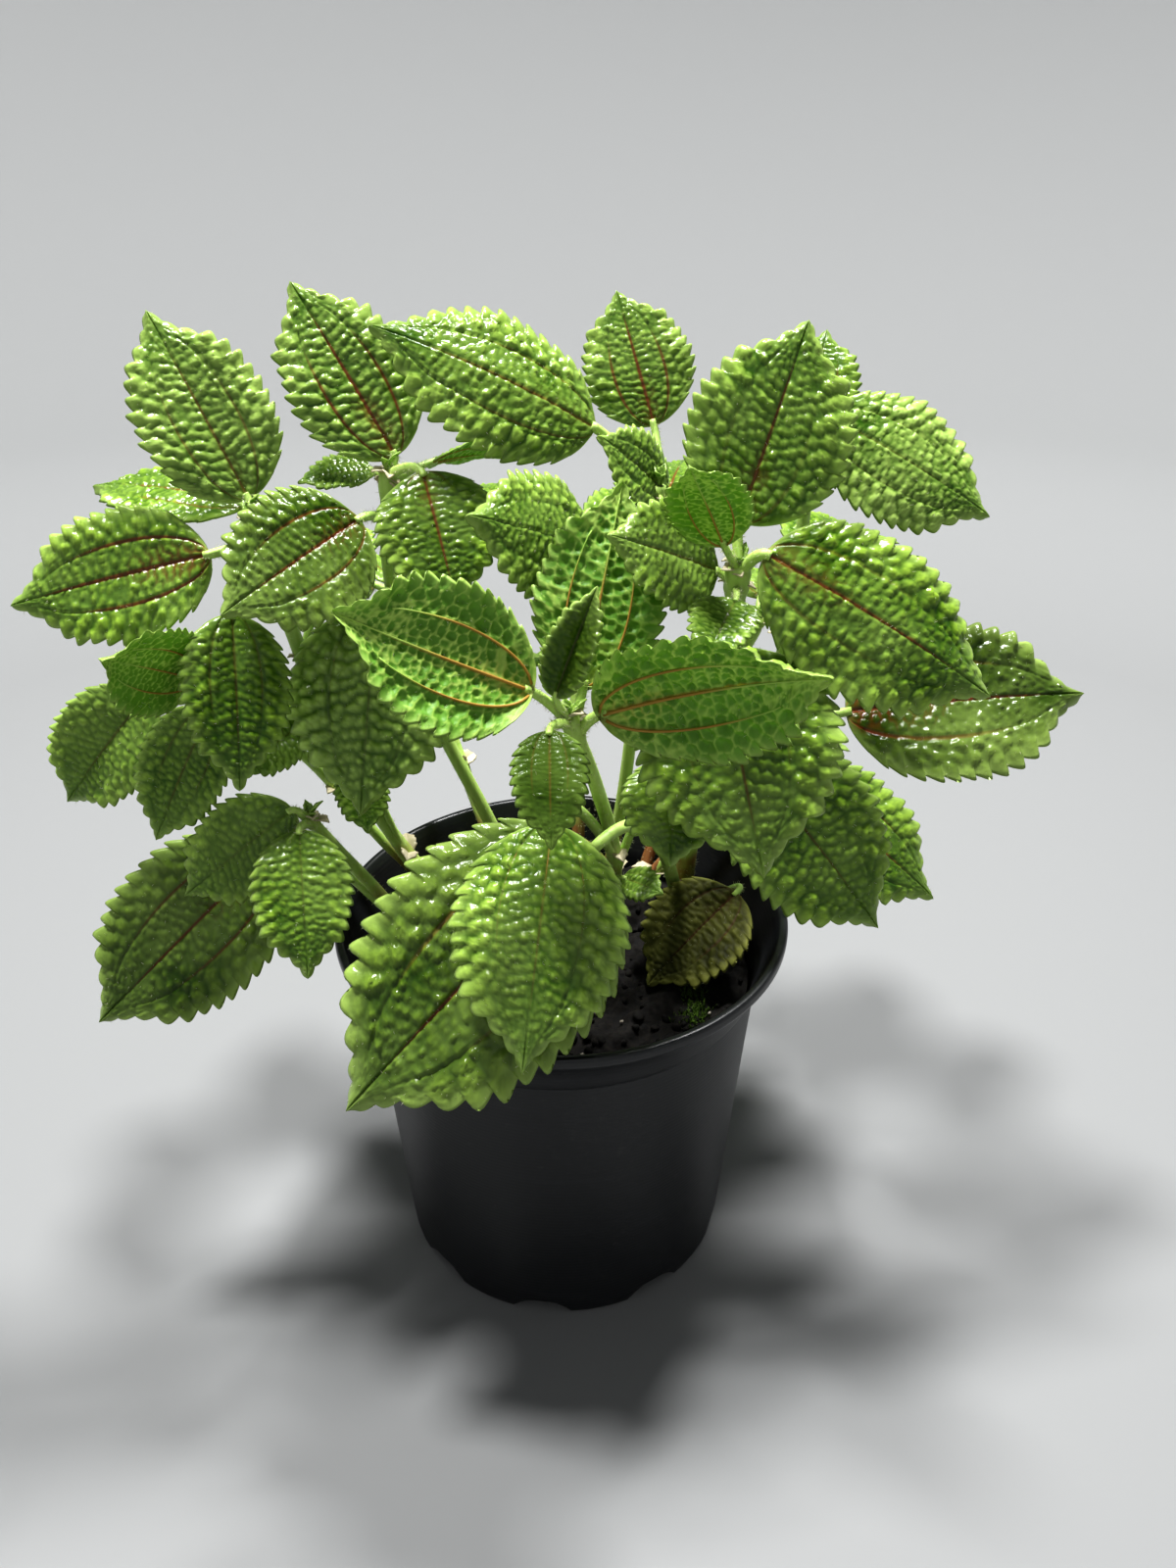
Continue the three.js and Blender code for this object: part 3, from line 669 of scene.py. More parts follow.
# %% [markdown]
# ## From flat to standing in space
# The flat blade is bent the way the solid is. The fold raises both halves about the midrib, the
# droop bends the midrib into an arc, and the frame of the leaf turns it all into place. The two
# faces of the blade are the same surface shifted up and down, and they meet at the margin, so
# the blade is one closed body and its edge comes out round.

# %% Bend
def bent(one, x, y, z):
    """Flat (x, y, z) to space. Fold f: (y cos f - z sin f, |y| sin f + z cos f). Droop d over
    length L: the midrib is an arc of radius L / d, and z points away from its centre."""
    length = one["size"][0]
    fold, droop = one["fold"], one["droop"]
    turned = z * math.sin(fold) * np.minimum(np.abs(y), 1)
    across = np.sign(y) * (np.abs(y) * math.cos(fold) - turned)
    lift = np.abs(y) * math.sin(fold) + z * math.cos(fold)
    angle = droop * (0.5 - x / length)
    radius = length / droop
    along = radius * (math.sin(droop / 2) - np.sin(angle)) - lift * np.sin(angle)
    up = radius * (np.cos(angle) - math.cos(droop / 2)) + lift * np.cos(angle)
    u, s, n = leaf_frame(one)
    return one["base"] + along[..., None] * u + across[..., None] * s + up[..., None] * n


tip = bent(SHOOTS["front"]["leaves"][0], np.array(46.0), np.array(0.0), np.array(0.0))
print("the first leaf's tip is at", tip.round(1))

# %% Blade
SHEET = {"rows": 8, "step": 0.7, "thickness": 0.42, "cup": 0.045, "wave": 0.02, "usual": 40}
VEIN = {"midrib": 0.45, "side": 0.3, "sunk": 0.28, "rib": 0.36, "tip": 0.08, "points": 24}
RIBS = ((0, 1.0, 1.0), (1, 0.8, 0.75), (-1, 0.8, 0.75))  # side, and shares of length and size


def blade(one, random, slot=0):
    """Both faces of a blade and, under it, its three main veins as tapering ribs."""
    length, width = one["size"]
    tone, relief = one["tone"], one["relief"]
    count = tooth_count(one)
    columns = 2 * max(6, round(width / 2 / SHEET["step"])) + 1
    t = np.linspace(0, 1, SHEET["rows"] * count + 1)[:, None]
    v = np.linspace(-1, 1, columns)[None, :]
    off = np.abs(v)
    half = half_width(t, width)
    out = np.where(v < 0, teeth_out(t, one, random), teeth_out(t, one, random))
    y = np.sign(v) * (off * half + out * off**6)
    x = t * length + TEETH["forward"] * out * off**6 + 0 * v

    crest, height, cell = quilting(x, y, one, random)
    scale = width / SHEET["usual"]
    midrib = np.exp(-((y / (VEIN["midrib"] * scale * (1.25 - t))) ** 2))
    side = np.exp(-(((np.abs(y) - QUILT["lateral"] * half) / (VEIN["side"] * scale)) ** 2))
    side = side * (1 - smooth_step(t, 0.7, 0.9))
    groove = np.maximum(midrib, side)
    ends = smooth_step(t, 0.0, 0.06) * (1 - 0.5 * smooth_step(t, 0.93, 1.0))
    sunk = VEIN["sunk"] * (QUILT["height"] * length / count)
    height = (height * (1 - 0.8 * groove) - sunk * groove) * ends * relief * (1 - 0.75 * off**8)
    height = height - SHEET["cup"] * width * off**2.5
    phase = random.uniform(0, 2 * np.pi)
    height = height + SHEET["wave"] * width * np.sin(5 * np.pi * t + phase) * off**3

    red = np.maximum(midrib, 0.8 * side * (1 - smooth_step(t, 0.4, 0.8)))
    near = np.exp(-((y / (0.16 * width)) ** 2)) * (1 - smooth_step(t, 0.2, 0.6))
    red = np.maximum(red, 0.5 * (1 - crest) ** 3 * near) * (1 - smooth_step(t, 0.6, 0.95))
    # crest and tone carry the painted shade and light that the leaf material lays on
    values = {"crest": crest, "cell": cell, "red": red * one["red"], "tone": tone}
    values["margin"] = np.exp(-(half + out - np.abs(y)) / (0.05 * width))
    thick = SHEET["thickness"] / 2 * (1 - off**24) * (1 - np.abs(2 * t - 1) ** 40)
    upper, lower = bent(one, x, y, height + thick), bent(one, x, y, height - thick)
    faces = [
        surface(upper, slot=slot, under=0.0, **values),
        surface(lower, flip=True, slot=slot, under=1.0, **values),
    ]

    t = np.linspace(0.01, 0.93, VEIN["points"])
    for where, reach, size in RIBS:
        run = t * reach
        y = where * QUILT["lateral"] * half_width(run, width)
        z = -sunk * relief - SHEET["cup"] * width * (QUILT["lateral"] * abs(where)) ** 2.5
        rib = VEIN["rib"] * scale * size * (1 - run) ** 0.8 + VEIN["tip"]
        line = bent(one, run * length, y, z - 0.3 * rib)
        red = 1 - smooth_step(run, 0.3, 0.8)
        faces.append(tube(line, rib, 8, slot=slot, under=1.0, red=red, tone=tone))
    return faces


print("a blade has", SHEET["rows"], "rows of faces for each tooth")

# %% [markdown]
# ## Leaf tissue
# A leaf is a thin wet sheet of green cells under a waxy skin. Some light comes back from it,
# some goes through and turns yellower, and the skin gives small sharp highlights on the bumps.
# So the finish is a Principled shader mixed with a Translucent one. The colour goes from dark in
# the creases to pale on the crests, which is painted shade in the creases and painted light on
# the crests, and it is pale at the margin and brown-red along the main veins. The underside is
# duller, with a pale net. The old leaf in the pot is brown and dull. A very young leaf is so
# furry that it shines less, and as it lies in shade its greens are darker, which is painted
# shade.

# %% Leaf materials
LEAF = {
    # crease to crest: painted shade in the creases and painted light on the crests
    "crease": "#264f08",
    "crest": "#a2c642",
    "margin": "#b4cf70",
    # painted shade: a darker green for leaves that lie in shade
    "dark": "#26390a",
    # the green of young leaves, also painted light for leaves that get more light
    "young": "#c2de80",
    "vein": "#7c3620",
    "pit": "#689a32",
    "net": "#c2e070",
    "rib": "#b97c3a",
    "through": "#a4c828",
    "roughness": (0.09, 0.25),
    "translucence": 0.3,
    "specular": 0.42,
}
OLD = {"crease": "#1c140a", "crest": "#50501e", "margin": "#90934a", "vein": "#3c1d10"}
OLD |= {"pit": "#4f5428", "net": "#8b8a4c", "through": "#6f6a28"}
OLD |= {"roughness": (0.45, 0.7), "translucence": 0.15, "specular": 0.12}
# the furry young leaf: darker greens that are painted shade, and less shine
FUR_AND_SHADE = {"crest": "#80a634", "margin": "#96b458", "dark": "#1c2e06", "specular": 0.12}


def leaf_tissue(name, shades):
    """Above: crease to crest by the crest value, then the tone, which paints shade and a young
    green that is also painted light, then patches and veins over it. Below: pit to net where the
    cell value is low, then the tone's painted shade and ribs."""
    made, tree, place = new_material(name)
    patches, grain = (
        add_node(tree, "TexNoise", {"Vector": place, "Scale": scale, "Detail": detail})
        for scale, detail in ((55.0, 3.0), (1100.0, 4.0))  # 18 mm and 0.9 mm
    )
    crest, cell, under, tone, red, margin = (
        add_node(tree, "Attribute", out="Fac", attribute_name=key)
        for key in ("crest", "cell", "under", "tone", "red", "margin")
    )
    painted_shade_limits = (0.0, -1.5, 0.0, 0.9)

    # share of the young green, on the crests only: young leaves' colour and painted light
    young = add_node(tree, "MapRange", {"Value": tone, "From Max": 1.25})
    young = add_node(tree, "Math", {0: young, 1: crest}, operation="MULTIPLY")
    # painted shade in the creases and painted light on the crests
    above = paint(tree, shades["crease"], shades["crest"], crest, (0.0, 0.9))
    above = paint(tree, above, shades["young"], young)
    # painted shade: a darker green where the tone is under 0, for leaves that lie in shade
    above = paint(tree, above, shades["dark"], tone, painted_shade_limits)
    above = paint(tree, above, shades["margin"], patches, (0.35, 0.7, 0.0, 0.3))
    above = paint(tree, above, shades["vein"], red, (0.15, 0.75, 0.0, 0.9))

    net = add_node(tree, "MapRange", {"Value": cell, "From Min": 0.28, "From Max": 0.03})
    uneven = {"Value": patches, "From Min": 0.35, "From Max": 0.6, "To Min": 0.5}
    uneven = add_node(tree, "MapRange", uneven)
    net = add_node(tree, "Math", {0: net, 1: uneven}, operation="MULTIPLY")
    below = paint(tree, shades["pit"], shades["net"], net)
    # the same painted shade on the underside
    below = paint(tree, below, shades["dark"], tone, painted_shade_limits)
    below = paint(tree, below, shades["rib"], red, (0.2, 0.8, 0.0, 0.85))
    colour = paint(tree, above, below, under)
    colour = paint(tree, colour, shades["margin"], margin, (0.1, 1.0, 0.0, 0.75))

    low, high = shades["roughness"]
    rough = {"Value": grain, "From Min": 0.3, "From Max": 0.7, "To Min": low, "To Max": high}
    rough = add_node(tree, "MapRange", rough)
    rough = add_node(tree, "Math", {0: under, 1: 0.3, 2: rough}, operation="MULTIPLY_ADD")
    skin = {
        "Base Color": colour,
        "Roughness": rough,
        "IOR": 1.45,
        "Specular IOR Level": shades["specular"],
        "Sheen Weight": 0.03,
        "Sheen Roughness": 0.4,
        "Normal": add_node(tree, "Bump", {"Height": grain, "Strength": 0.35, "Distance": 0.0003}),
    }
    tint = paint(tree, colour, shades["through"], 0.5)
    return finished(made, skin, tint, shades["translucence"])


TISSUE = leaf_tissue("leaf_tissue_waxy", LEAF)
WITHERED = leaf_tissue("leaf_tissue_withered", LEAF | OLD)
FURRY_SHADED = leaf_tissue("leaf_tissue_furry_shaded", LEAF | FUR_AND_SHADE)
print("leaf finishes:", TISSUE.name, WITHERED.name, FURRY_SHADED.name)

# %% [markdown]
# ## The blades
# Each solid blade gives way to one piece. The draws of chance are seeded with the leaf's own
# number, so a leaf looks the same each time, whatever else changes. The leaves of the stems' own
# solids wait for the stems, and the faces of the others are kept for their hairs.

# %% Dress the blades
UNUSUAL = {"right_6": (WITHERED, "old_leaf"), "front_4": (FURRY_SHADED, "leaf")}

young_leaves, blade_faces = ({name: [] for name in SHOOTS} for _ in range(2))
for s, (shoot_name, stem) in enumerate(SHOOTS.items()):
    number = 0
    for i, one in enumerate(stem["leaves"]):
        if one["grown"]:
            young_leaves[shoot_name].append((i, one))
            continue
        number += 1
        name = f"{shoot_name}_{number}"
        finish, slot = UNUSUAL.get(name, (TISSUE, "leaf"))
        faces = blade(one, np.random.default_rng(100 * s + i))
        put_piece("blade_" + name, faces, [finish], ["leaf_" + name])
        blade_faces[shoot_name] += faces[:2]
print(len(PIECES), "blades dressed")

# %% [markdown]
# ## Stem skin, papery scales and hairs
# A pilea stem is a soft, juicy tube: pale yellow-green above, where it is young, and brown and
# corky near the peat. Where a stalk leaves it stand dry, papery scales, the stipules, and the
# whole shoot is covered in fine white hairs, which show as a bright fuzz against the light.

# %% Stem, scale and hair materials
def stem_skin():
    """Green to brown by the age value, softly glossy, with streaks 1.1 mm wide and 7 mm long
    and blotches of 6 mm."""
    made, tree, place = new_material("stem_skin_soft")
    long_cells = add_node(tree, "Mapping", {"Vector": place, "Scale": (1.0, 1.0, 0.15)})
    streaks = add_node(tree, "TexNoise", {"Vector": long_cells, "Scale": 900.0, "Detail": 3.0})
    blotches = add_node(tree, "TexNoise", {"Vector": place, "Scale": 160.0, "Detail": 2.0})
    age = add_node(tree, "Attribute", out="Fac", attribute_name="age")
    worn = add_node(tree, "Math", {0: age, 1: blotches}, operation="ADD")
    green = paint(tree, "#96b64c", "#bad47a", streaks)
    brown = paint(tree, "#5e3a20", "#9a6a3c", streaks)
    skin = {
        "Base Color": paint(tree, green, brown, worn, (0.7, 1.3)),
        "Roughness": 0.5,
        "Subsurface Weight": 0.25,
        "Subsurface Radius": (0.6, 1.0, 0.3),
        "Subsurface Scale": 0.001,
        "Normal": add_node(
            tree, "Bump", {"Height": streaks, "Strength": 0.35, "Distance": 0.0002}
        ),
    }
    return finished(made, skin)


def thin_paper(name, colour, through, roughness):
    """A thin pale sheet that lets a share of the light through, with fibres of 1.4 mm."""
    made, tree, place = new_material(name)
    fibres = add_node(tree, "TexNoise", {"Vector": place, "Scale": 700.0, "Detail": 4.0})
    shade = paint(tree, colour, "#e6dec4", fibres)
    return finished(made, {"Base Color": shade, "Roughness": roughness}, shade, through)


STEM_SKIN = stem_skin()
SCALE = thin_paper("stipule_papery", "#b9ad86", 0.3, 0.6)
HAIR = thin_paper("hair_white_fine", "#b4c692", 0.4, 0.5)
print("stem finishes:", STEM_SKIN.name, SCALE.name, HAIR.name)

# %% [markdown]
# ## Hairs as shape
# The hairs are under a tenth of a millimetre thick, and there are thousands. Each is a four-sided
# spike with six faces, worked out for all hairs at once. They stand on points picked at random on
# a surface and lean away from it, some more than others. They are drawn a little thicker than
# they are, so that they still show.

# %% Hairs
HAIRS = {"root": 0.035, "tip": 0.008, "length": 0.9, "lengths": (0.5, 1.2), "lean": 0.35}
RING = ((1, 1), (-1, 1), (-1, -1), (1, -1))
SPIKE = [(3, 2, 1, 0), (4, 5, 6, 7), (0, 1, 5, 4), (1, 2, 6, 5), (2, 3, 7, 6), (3, 0, 4, 7)]


def hairs(roots, directions, random, length=1.0, slot=0, root=HAIRS["root"]):
    """Spikes: a square of half side root at each root point, and one of half side tip at
    root point + direction * length."""
    count = len(roots)
    d = unit(directions + random.normal(0, HAIRS["lean"], (count, 3)))
    a = unit(np.cross(d, unit(random.normal(0, 1, (count, 3)))))
    b = np.cross(d, a)
    reach = HAIRS["length"] * length * random.uniform(*HAIRS["lengths"], (count, 1))
    low = [roots + root * (i * a + j * b) for i, j in RING]
    high = [roots + d * reach + HAIRS["tip"] * (i * a + j * b) for i, j in RING]
    points = np.stack(low + high, 1).reshape(-1, 3)
    faces = (np.array(SPIKE)[None] + 8 * np.arange(count)[:, None, None]).reshape(-1, 4)
    return {"points": points, "faces": faces, "slot": slot, "values": {}}


def on_tube(line, radius, count, random):
    """Random points just under a tube's skin and the directions out of it."""
    a, b = tube_frame(line)
    i = random.integers(1, len(line) - 1, count)
    w = random.uniform(0, 2 * np.pi, (count, 1))
    out = a[i] * np.cos(w) + b[i] * np.sin(w)
    return line[i] + out * radius[i][:, None] * 0.97, out


def on_faces(faces, density, random):
    """Random points on a blade's faces, so many for each mm2, and the directions out of them."""
    points = faces["points"][faces["faces"]]
    a, b, c, d = (points[:, k] for k in range(4))
    area = np.linalg.norm(np.cross(c - a, d - b), axis=1) / 2
    pick = random.choice(len(points), round(density * area.sum()), p=area / area.sum())
    return points[pick].mean(axis=1), unit(np.cross(b - a, d - a))[pick]


print("a hair is", HAIRS["length"], "mm long")

# %% [markdown]
# ## The stems
# A stem piece holds the stem, the stalks of all its leaves, its youngest leaves, a bud at the
# top and the papery scales at each stalk. The stem swells where a stalk leaves it and thins out
# towards the top. A stalk is grooved on its upper side and widens at both ends.

# %% Stalks, scales and buds
STALK_HAIRS = 160
SCALE_SIZE = (4.6, 4.0)  # those at old joints are up to 1.9 times larger
FLAT, TENDER = (0, 0.85, 1, 0), (0.7, 0, 1, 0.5)  # the looks of scales and buds


def leaflet(point, size, bend, heading, rise, roll, looks):
    """A tiny leaf at a point, with its turn in radians."""
    one = leaf(point, (0, 0, 0), size, bend, 0, looks)
    return {**one, "turn": np.array([heading, rise, roll])}


def scale_pair(point, along, larger, random):
    """Two papery scales, which stand at a joint and curl away from the stem."""
    heading = math.atan2(along[1], along[0]) + random.uniform(0, math.pi)
    size = [larger * v for v in SCALE_SIZE]
    made = []
    for turn in (0, math.pi):
        rise, roll = random.uniform(0.1, 0.7), random.uniform(-0.5, 0.5)
        one = leaflet(point, size, (70, 30), heading + turn, rise, roll, FLAT)
        made += blade(one, random, slot=2)[:2]
    return made


def bud(point, random):
    """Four tiny folded leaves round the tip of a stem."""
    made = []
    for k in range(4):
        rise, heading = random.uniform(0.7, 1.25), k * 1.7 + random.uniform(0, 1)
        size, roll = (5.5 - 0.7 * k, 3.4 - 0.4 * k), random.uniform(-0.4, 0.4)
        one = leaflet(point, size, (25, 30), heading, rise, roll, TENDER)
        made += blade(one, random, slot=1)[:2]
    return made


def stalk(one, stem, random):
    """A grooved stalk with its hairs and scales. It is thicker under a long blade, and its
    radius is r (1 + (1-t)^6 / 4 - t^2 / 5)."""
    run = np.linspace(0, 1, 28)
    line = stalk_line(one, stem, run)
    longer = max(0, one["size"][0] - STALK["plain"])
    thick = STALK["radius"] * (STALK["grown"] if one["grown"] else 1.0) + STALK["thicker"] * longer
    thick = thick * (1 + 0.25 * (1 - run) ** 6 - 0.2 * run**2)
    w = np.linspace(0, 2 * np.pi, STALK["sides"] + 1)[None, :]
    grooved = thick[:, None] * (1 - STALK["groove"] * np.exp(-(((w - np.pi / 2) / 0.5) ** 2)))
    made = [tube(line, grooved, STALK["sides"], age=0.25 * (1 - run) ** 3)]
    made.append(hairs(*on_tube(line, thick, STALK_HAIRS, random), random, slot=3))
    joint = stem_line(stem, [one["start"]])[0]
    return made + scale_pair(joint, line[2] - line[0], 1.9 - 0.9 * one["start"], random)


print("scales are", SCALE_SIZE, "mm long and wide, and stalks have", STALK_HAIRS, "hairs each")

# %% Dress the stems
STEM = {"points": 90, "sides": 20, "hairs": 500, "corky": (4, 46), "taper": 0.3}
JOINT = {"swell": 0.16, "reach": 0.015}  # shares of the radius and of the stem's length

for s, (name, stem) in enumerate(SHOOTS.items()):
    random = np.random.default_rng(5000 + s)
    t = np.linspace(0, 1, STEM["points"])
    line = stem_line(stem, t)
    radius = stem["radius"] * (1.05 - STEM["taper"] * t)
    for one in stem["leaves"]:
        swell = np.exp(-(((t - one["start"]) / JOINT["reach"]) ** 2))
        radius = radius * (1 + JOINT["swell"] * swell)
    young, old = STEM["corky"]
    age = 1 - smooth_step(line[:, 2], SOIL_TOP + young, SOIL_TOP + old)
    parts = [tube(line, radius, STEM["sides"], age=age)]
    parts.append(hairs(*on_tube(line, radius, STEM["hairs"], random), random, slot=3))
    parts += bud(line[-1], random)
    for one in stem["leaves"]:
        parts += stalk(one, stem, random)
    for i, one in young_leaves[name]:
        parts += blade(one, np.random.default_rng(100 * s + i), slot=1)
    put_piece("shoot_" + name, parts, [STEM_SKIN, TISSUE, SCALE, HAIR], ["stem_" + name])
print(len(SHOOTS), "stems dressed")

# %% [markdown]
# ## The pot
# A nursery pot is blown or moulded from thin polypropylene: a tapered wall, a flared collar with
# a rolled rim, and a foot with notches that let water out. It is a turned shape, so its section
# is carried round the axis. The section is a few corner points, rounded by cutting each corner
# twice, and the notches lift the foot's lower edge in nine arches.

# %% Section of the pot
POT = {
    "rim": 60.0,
    "height": 104.0,
    "base": 46.5,
    "wall": 1.4,
    "collar": 15.0,
    "inset": 7.2,
    "flare": (2.6, 6),  # how far the collar steps out, and over which height
    "lip": (3.2, 2.4, 1.8),  # height, width, and how far it stands out from the collar
    "floor": 5.6,
    "lift": 2.6,
    "pad": 22.0,
    "foot": 7.0,
    "slope": 2,
    "step": 2.0,
    "columns": 252,
}


def wall_radius(z):
    """Radius of the outer wall at height z, a straight taper up to the collar."""
    top = POT["rim"] - POT["inset"] - POT["base"]
    return POT["base"] + top * z / (POT["height"] - POT["collar"])


def rounded(section, times=2):
    """Cuts each inner corner: of every edge only the points at 1/5 and 4/5 stay."""
    for _ in range(times):
        low, high = section[:-1], section[1:]
        cut = np.stack([0.8 * low + 0.2 * high, 0.2 * low + 0.8 * high], 1).reshape(-1, 2)
        section = np.vstack([section[:1], cut, section[-1:]])
    return section


def denser(section, step):
    """Adds points so that none of the section's edges is longer than step."""
    far = np.concatenate([[0], np.cumsum(np.linalg.norm(np.diff(section, axis=0), axis=1))])
    every = np.union1d(far, np.arange(0, far[-1], step))
    return np.stack([np.interp(every, far, section[:, k]) for k in (0, 1)], -1)


def pot_section():
    """Radius and height from the middle of the underside, out, up, over the rim and down in."""
    rim, height, base, wall = POT["rim"], POT["height"], POT["base"], POT["wall"]
    collar = height - POT["collar"]
    lip_height, lip_width, lip_step = POT["lip"]
    flare, rise = POT["flare"]
    top, foot = wall_radius(collar), base - POT["foot"]
    corners = [
        (0, 0),
        (POT["pad"], 0),
        (POT["pad"] + POT["slope"], POT["lift"]),
        (foot - POT["slope"], POT["lift"]),
        (foot, 0),
        (base - 0.3, 0),
        (wall_radius(1), 1.2),
        (top, collar - 0.5),
        (top + 0.9, collar + 0.2),
        (top + flare, collar + rise),
        (rim - lip_step, height - lip_height - 0.4),
        (rim, height - lip_height),
        (rim, height),
        (rim - lip_width, height),
        (top + flare - wall, collar + rise),
        (top - wall, collar - 1),
        (wall_radius(POT["floor"]) - wall, POT["floor"]),
        (0, POT["floor"]),
    ]
    return denser(rounded(np.array(corners, float)), POT["step"])


print("pot section:", len(pot_section()), "points")

# %% Pot shape
NOTCH = {"count": 9, "half": 7.5, "height": 4.4, "first": -47.0, "from": 41.5}


def turned(section, columns):
    """The section carried round Z, clockwise from the front seen from above."""
    w = np.linspace(0, 2 * np.pi, columns + 1)[None, :]
    r, z = section[:, :1], section[:, 1:]
    return np.stack([r * np.sin(w), -r * np.cos(w), z + 0 * w], -1), w


def notched(points, w):
    """Lifts what is lower than an arch h sqrt(1 - (a/half)^2), a being mm round the foot."""
    x, y, z = np.moveaxis(points, -1, 0)
    r = np.hypot(x, y)
    step = 2 * np.pi / NOTCH["count"]
    off = (w - math.radians(NOTCH["first"]) + step / 2) % step - step / 2
    arch = NOTCH["height"] * np.sqrt(np.clip(1 - (off * r / NOTCH["half"]) ** 2, 0, 1))
    return np.stack([x, y, np.where(r > NOTCH["from"], np.maximum(z, arch), z)], -1)


pot_points = notched(*turned(pot_section(), POT["columns"]))
print("pot surface:", pot_points.shape)

# %% [markdown]
# ## Polypropylene
# The pot is charcoal black, satin on the wall and shinier on the rim, with faint rings from the
# mould, pale dust and a few long scuffs. Carbon black leaves a cool grey in the highlights.

# %% Pot material
def polypropylene():
    """Charcoal by a noise 56 mm wide, with dust of 2.4 mm and scuffs of 38 by 4 mm where two
    others are high. The rings are sin(5200 z), one each 1.2 mm."""
    made, tree, place = new_material("polypropylene_moulded")
    height = add_node(tree, "SeparateXYZ", {0: place}, "Z")
    cloud = add_node(tree, "TexNoise", {"Vector": place, "Scale": 18.0, "Detail": 5.0})
    grit = add_node(tree, "TexNoise", {"Vector": place, "Scale": 420.0, "Detail": 4.0})
    low = add_node(tree, "Mapping", {"Vector": place, "Scale": (1.0, 1.0, 9.0)})
    scuffs = {"Vector": low, "Scale": 26.0, "Detail": 6.0, "Distortion": 0.8}
    scuffs = add_node(tree, "TexNoise", scuffs)
    rings = add_node(tree, "Math", {0: height, 1: 5200.0}, operation="MULTIPLY")
    rings = add_node(tree, "Math", {0: rings}, operation="SINE")

    colour = paint(tree, "#0b0c0e", "#17191c", cloud)
    colour = paint(tree, colour, "#42423f", grit, (0.62, 0.78, 0.0, 0.22))
    colour = paint(tree, colour, "#26282c", scuffs, (0.6, 0.74, 0.0, 0.3))
    rim = {"Value": height, "From Min": 0.096, "From Max": 0.101, "To Min": 0.4, "To Max": 0.25}
    rim = add_node(tree, "MapRange", rim)
    rough = add_node(tree, "Math", {0: cloud, 1: 0.12, 2: rim}, operation="MULTIPLY_ADD")
    relief = add_node(tree, "Math", {0: rings, 1: 0.25, 2: grit}, operation="MULTIPLY_ADD")
    dents = add_node(tree, "Bump", {"Height": relief, "Strength": 0.12, "Distance": 0.0002})
    skin = {"Base Color": colour, "Roughness": rough, "IOR": 1.49, "Normal": dents}
    return finished(made, skin)


POLYPROPYLENE = polypropylene()
put_piece("nursery_pot", [surface(pot_points, flip=True)], [POLYPROPYLENE], ["pot"])
print("pot dressed with", POLYPROPYLENE.name)

# %% [markdown]
# ## The peat
# Potting peat is dark crumbs of all sizes, held together by roots. The surface is a disc of
# rings, with the mound and the long waves of the solid, and on it hundreds of small domes. Loose
# crumbs, grit and a little moss near the wall lie on top.

# %% Peat surface
PEAT = {
    "mound": 3.0,
    "waves": 1.1,
    "gap": 0.3,
    "rings": 110,
    "columns": 361,
    "crumbs": 900,
    "crumb": (0.6, 2.6),  # the least and the most radius, as in the two sizes below
    "loose": (320, 0.7, (0.5, 1.9)),  # how many, height over the peat, sizes
    "grit": (26, 1.0, (0.5, 1.1)),
}


def peat_height(x, y):
    """The mound, 3 (1 - r^2 / 60^2), and two long waves."""
    r = np.hypot(x, y) / POT["rim"]
    waves = np.sin(x * 0.31 + 1.3) * np.cos(y * 0.27) + 0.6 * np.sin(x * 0.62 - y * 0.55)
    return SOIL_TOP + PEAT["mound"] * (1 - r * r) + PEAT["waves"] * waves


def domes(x, y, random):
    """The highest of many random domes h (1 - (d / r)^2) at each point."""
    size = random.uniform(*PEAT["crumb"], PEAT["crumbs"]).astype(np.float32)
    far = wall_radius(SOIL_TOP) * np.sqrt(random.uniform(0, 1, PEAT["crumbs"]))
    turn = random.uniform(0, 2 * np.pi, PEAT["crumbs"])
    cx, cy = (far * np.cos(turn)).astype(np.float32), (far * np.sin(turn)).astype(np.float32)
    apart = np.hypot(x.ravel()[:, None] - cx, y.ravel()[:, None] - cy) / size
    high = np.clip(1 - apart**2, 0, 1) * size * 0.55
    return high.max(axis=1).reshape(x.shape)


random = np.random.default_rng(77)
low = POT["floor"] + PEAT["gap"]
inside, foot = (wall_radius(z) - POT["wall"] - PEAT["gap"] for z in (SOIL_TOP, low))
rings = np.linspace(0, 1, PEAT["rings"])[:, None]
turn = np.linspace(0, 2 * np.pi, PEAT["columns"])[None, :]
x, y = inside * rings * np.cos(turn), inside * rings * np.sin(turn)
crumbs = domes(x[:, :-1], y[:, :-1], random)
crumbs = np.hstack([crumbs, crumbs[:, :1]]) * (1 - smooth_step(rings, 0.97, 1.0))
crumbs[0] = crumbs[0, 0]
top = np.stack([x, y, peat_height(x, y) + crumbs], -1)
below = [np.stack([r * np.cos(turn), r * np.sin(turn), low + 0 * turn], -1) for r in (foot, 0)]
filling = surface(np.concatenate([top, *below]))
print("peat surface:", top.shape)

# %% Crumbs and grit
PEBBLE = (5, 7)  # rows and columns of its grid


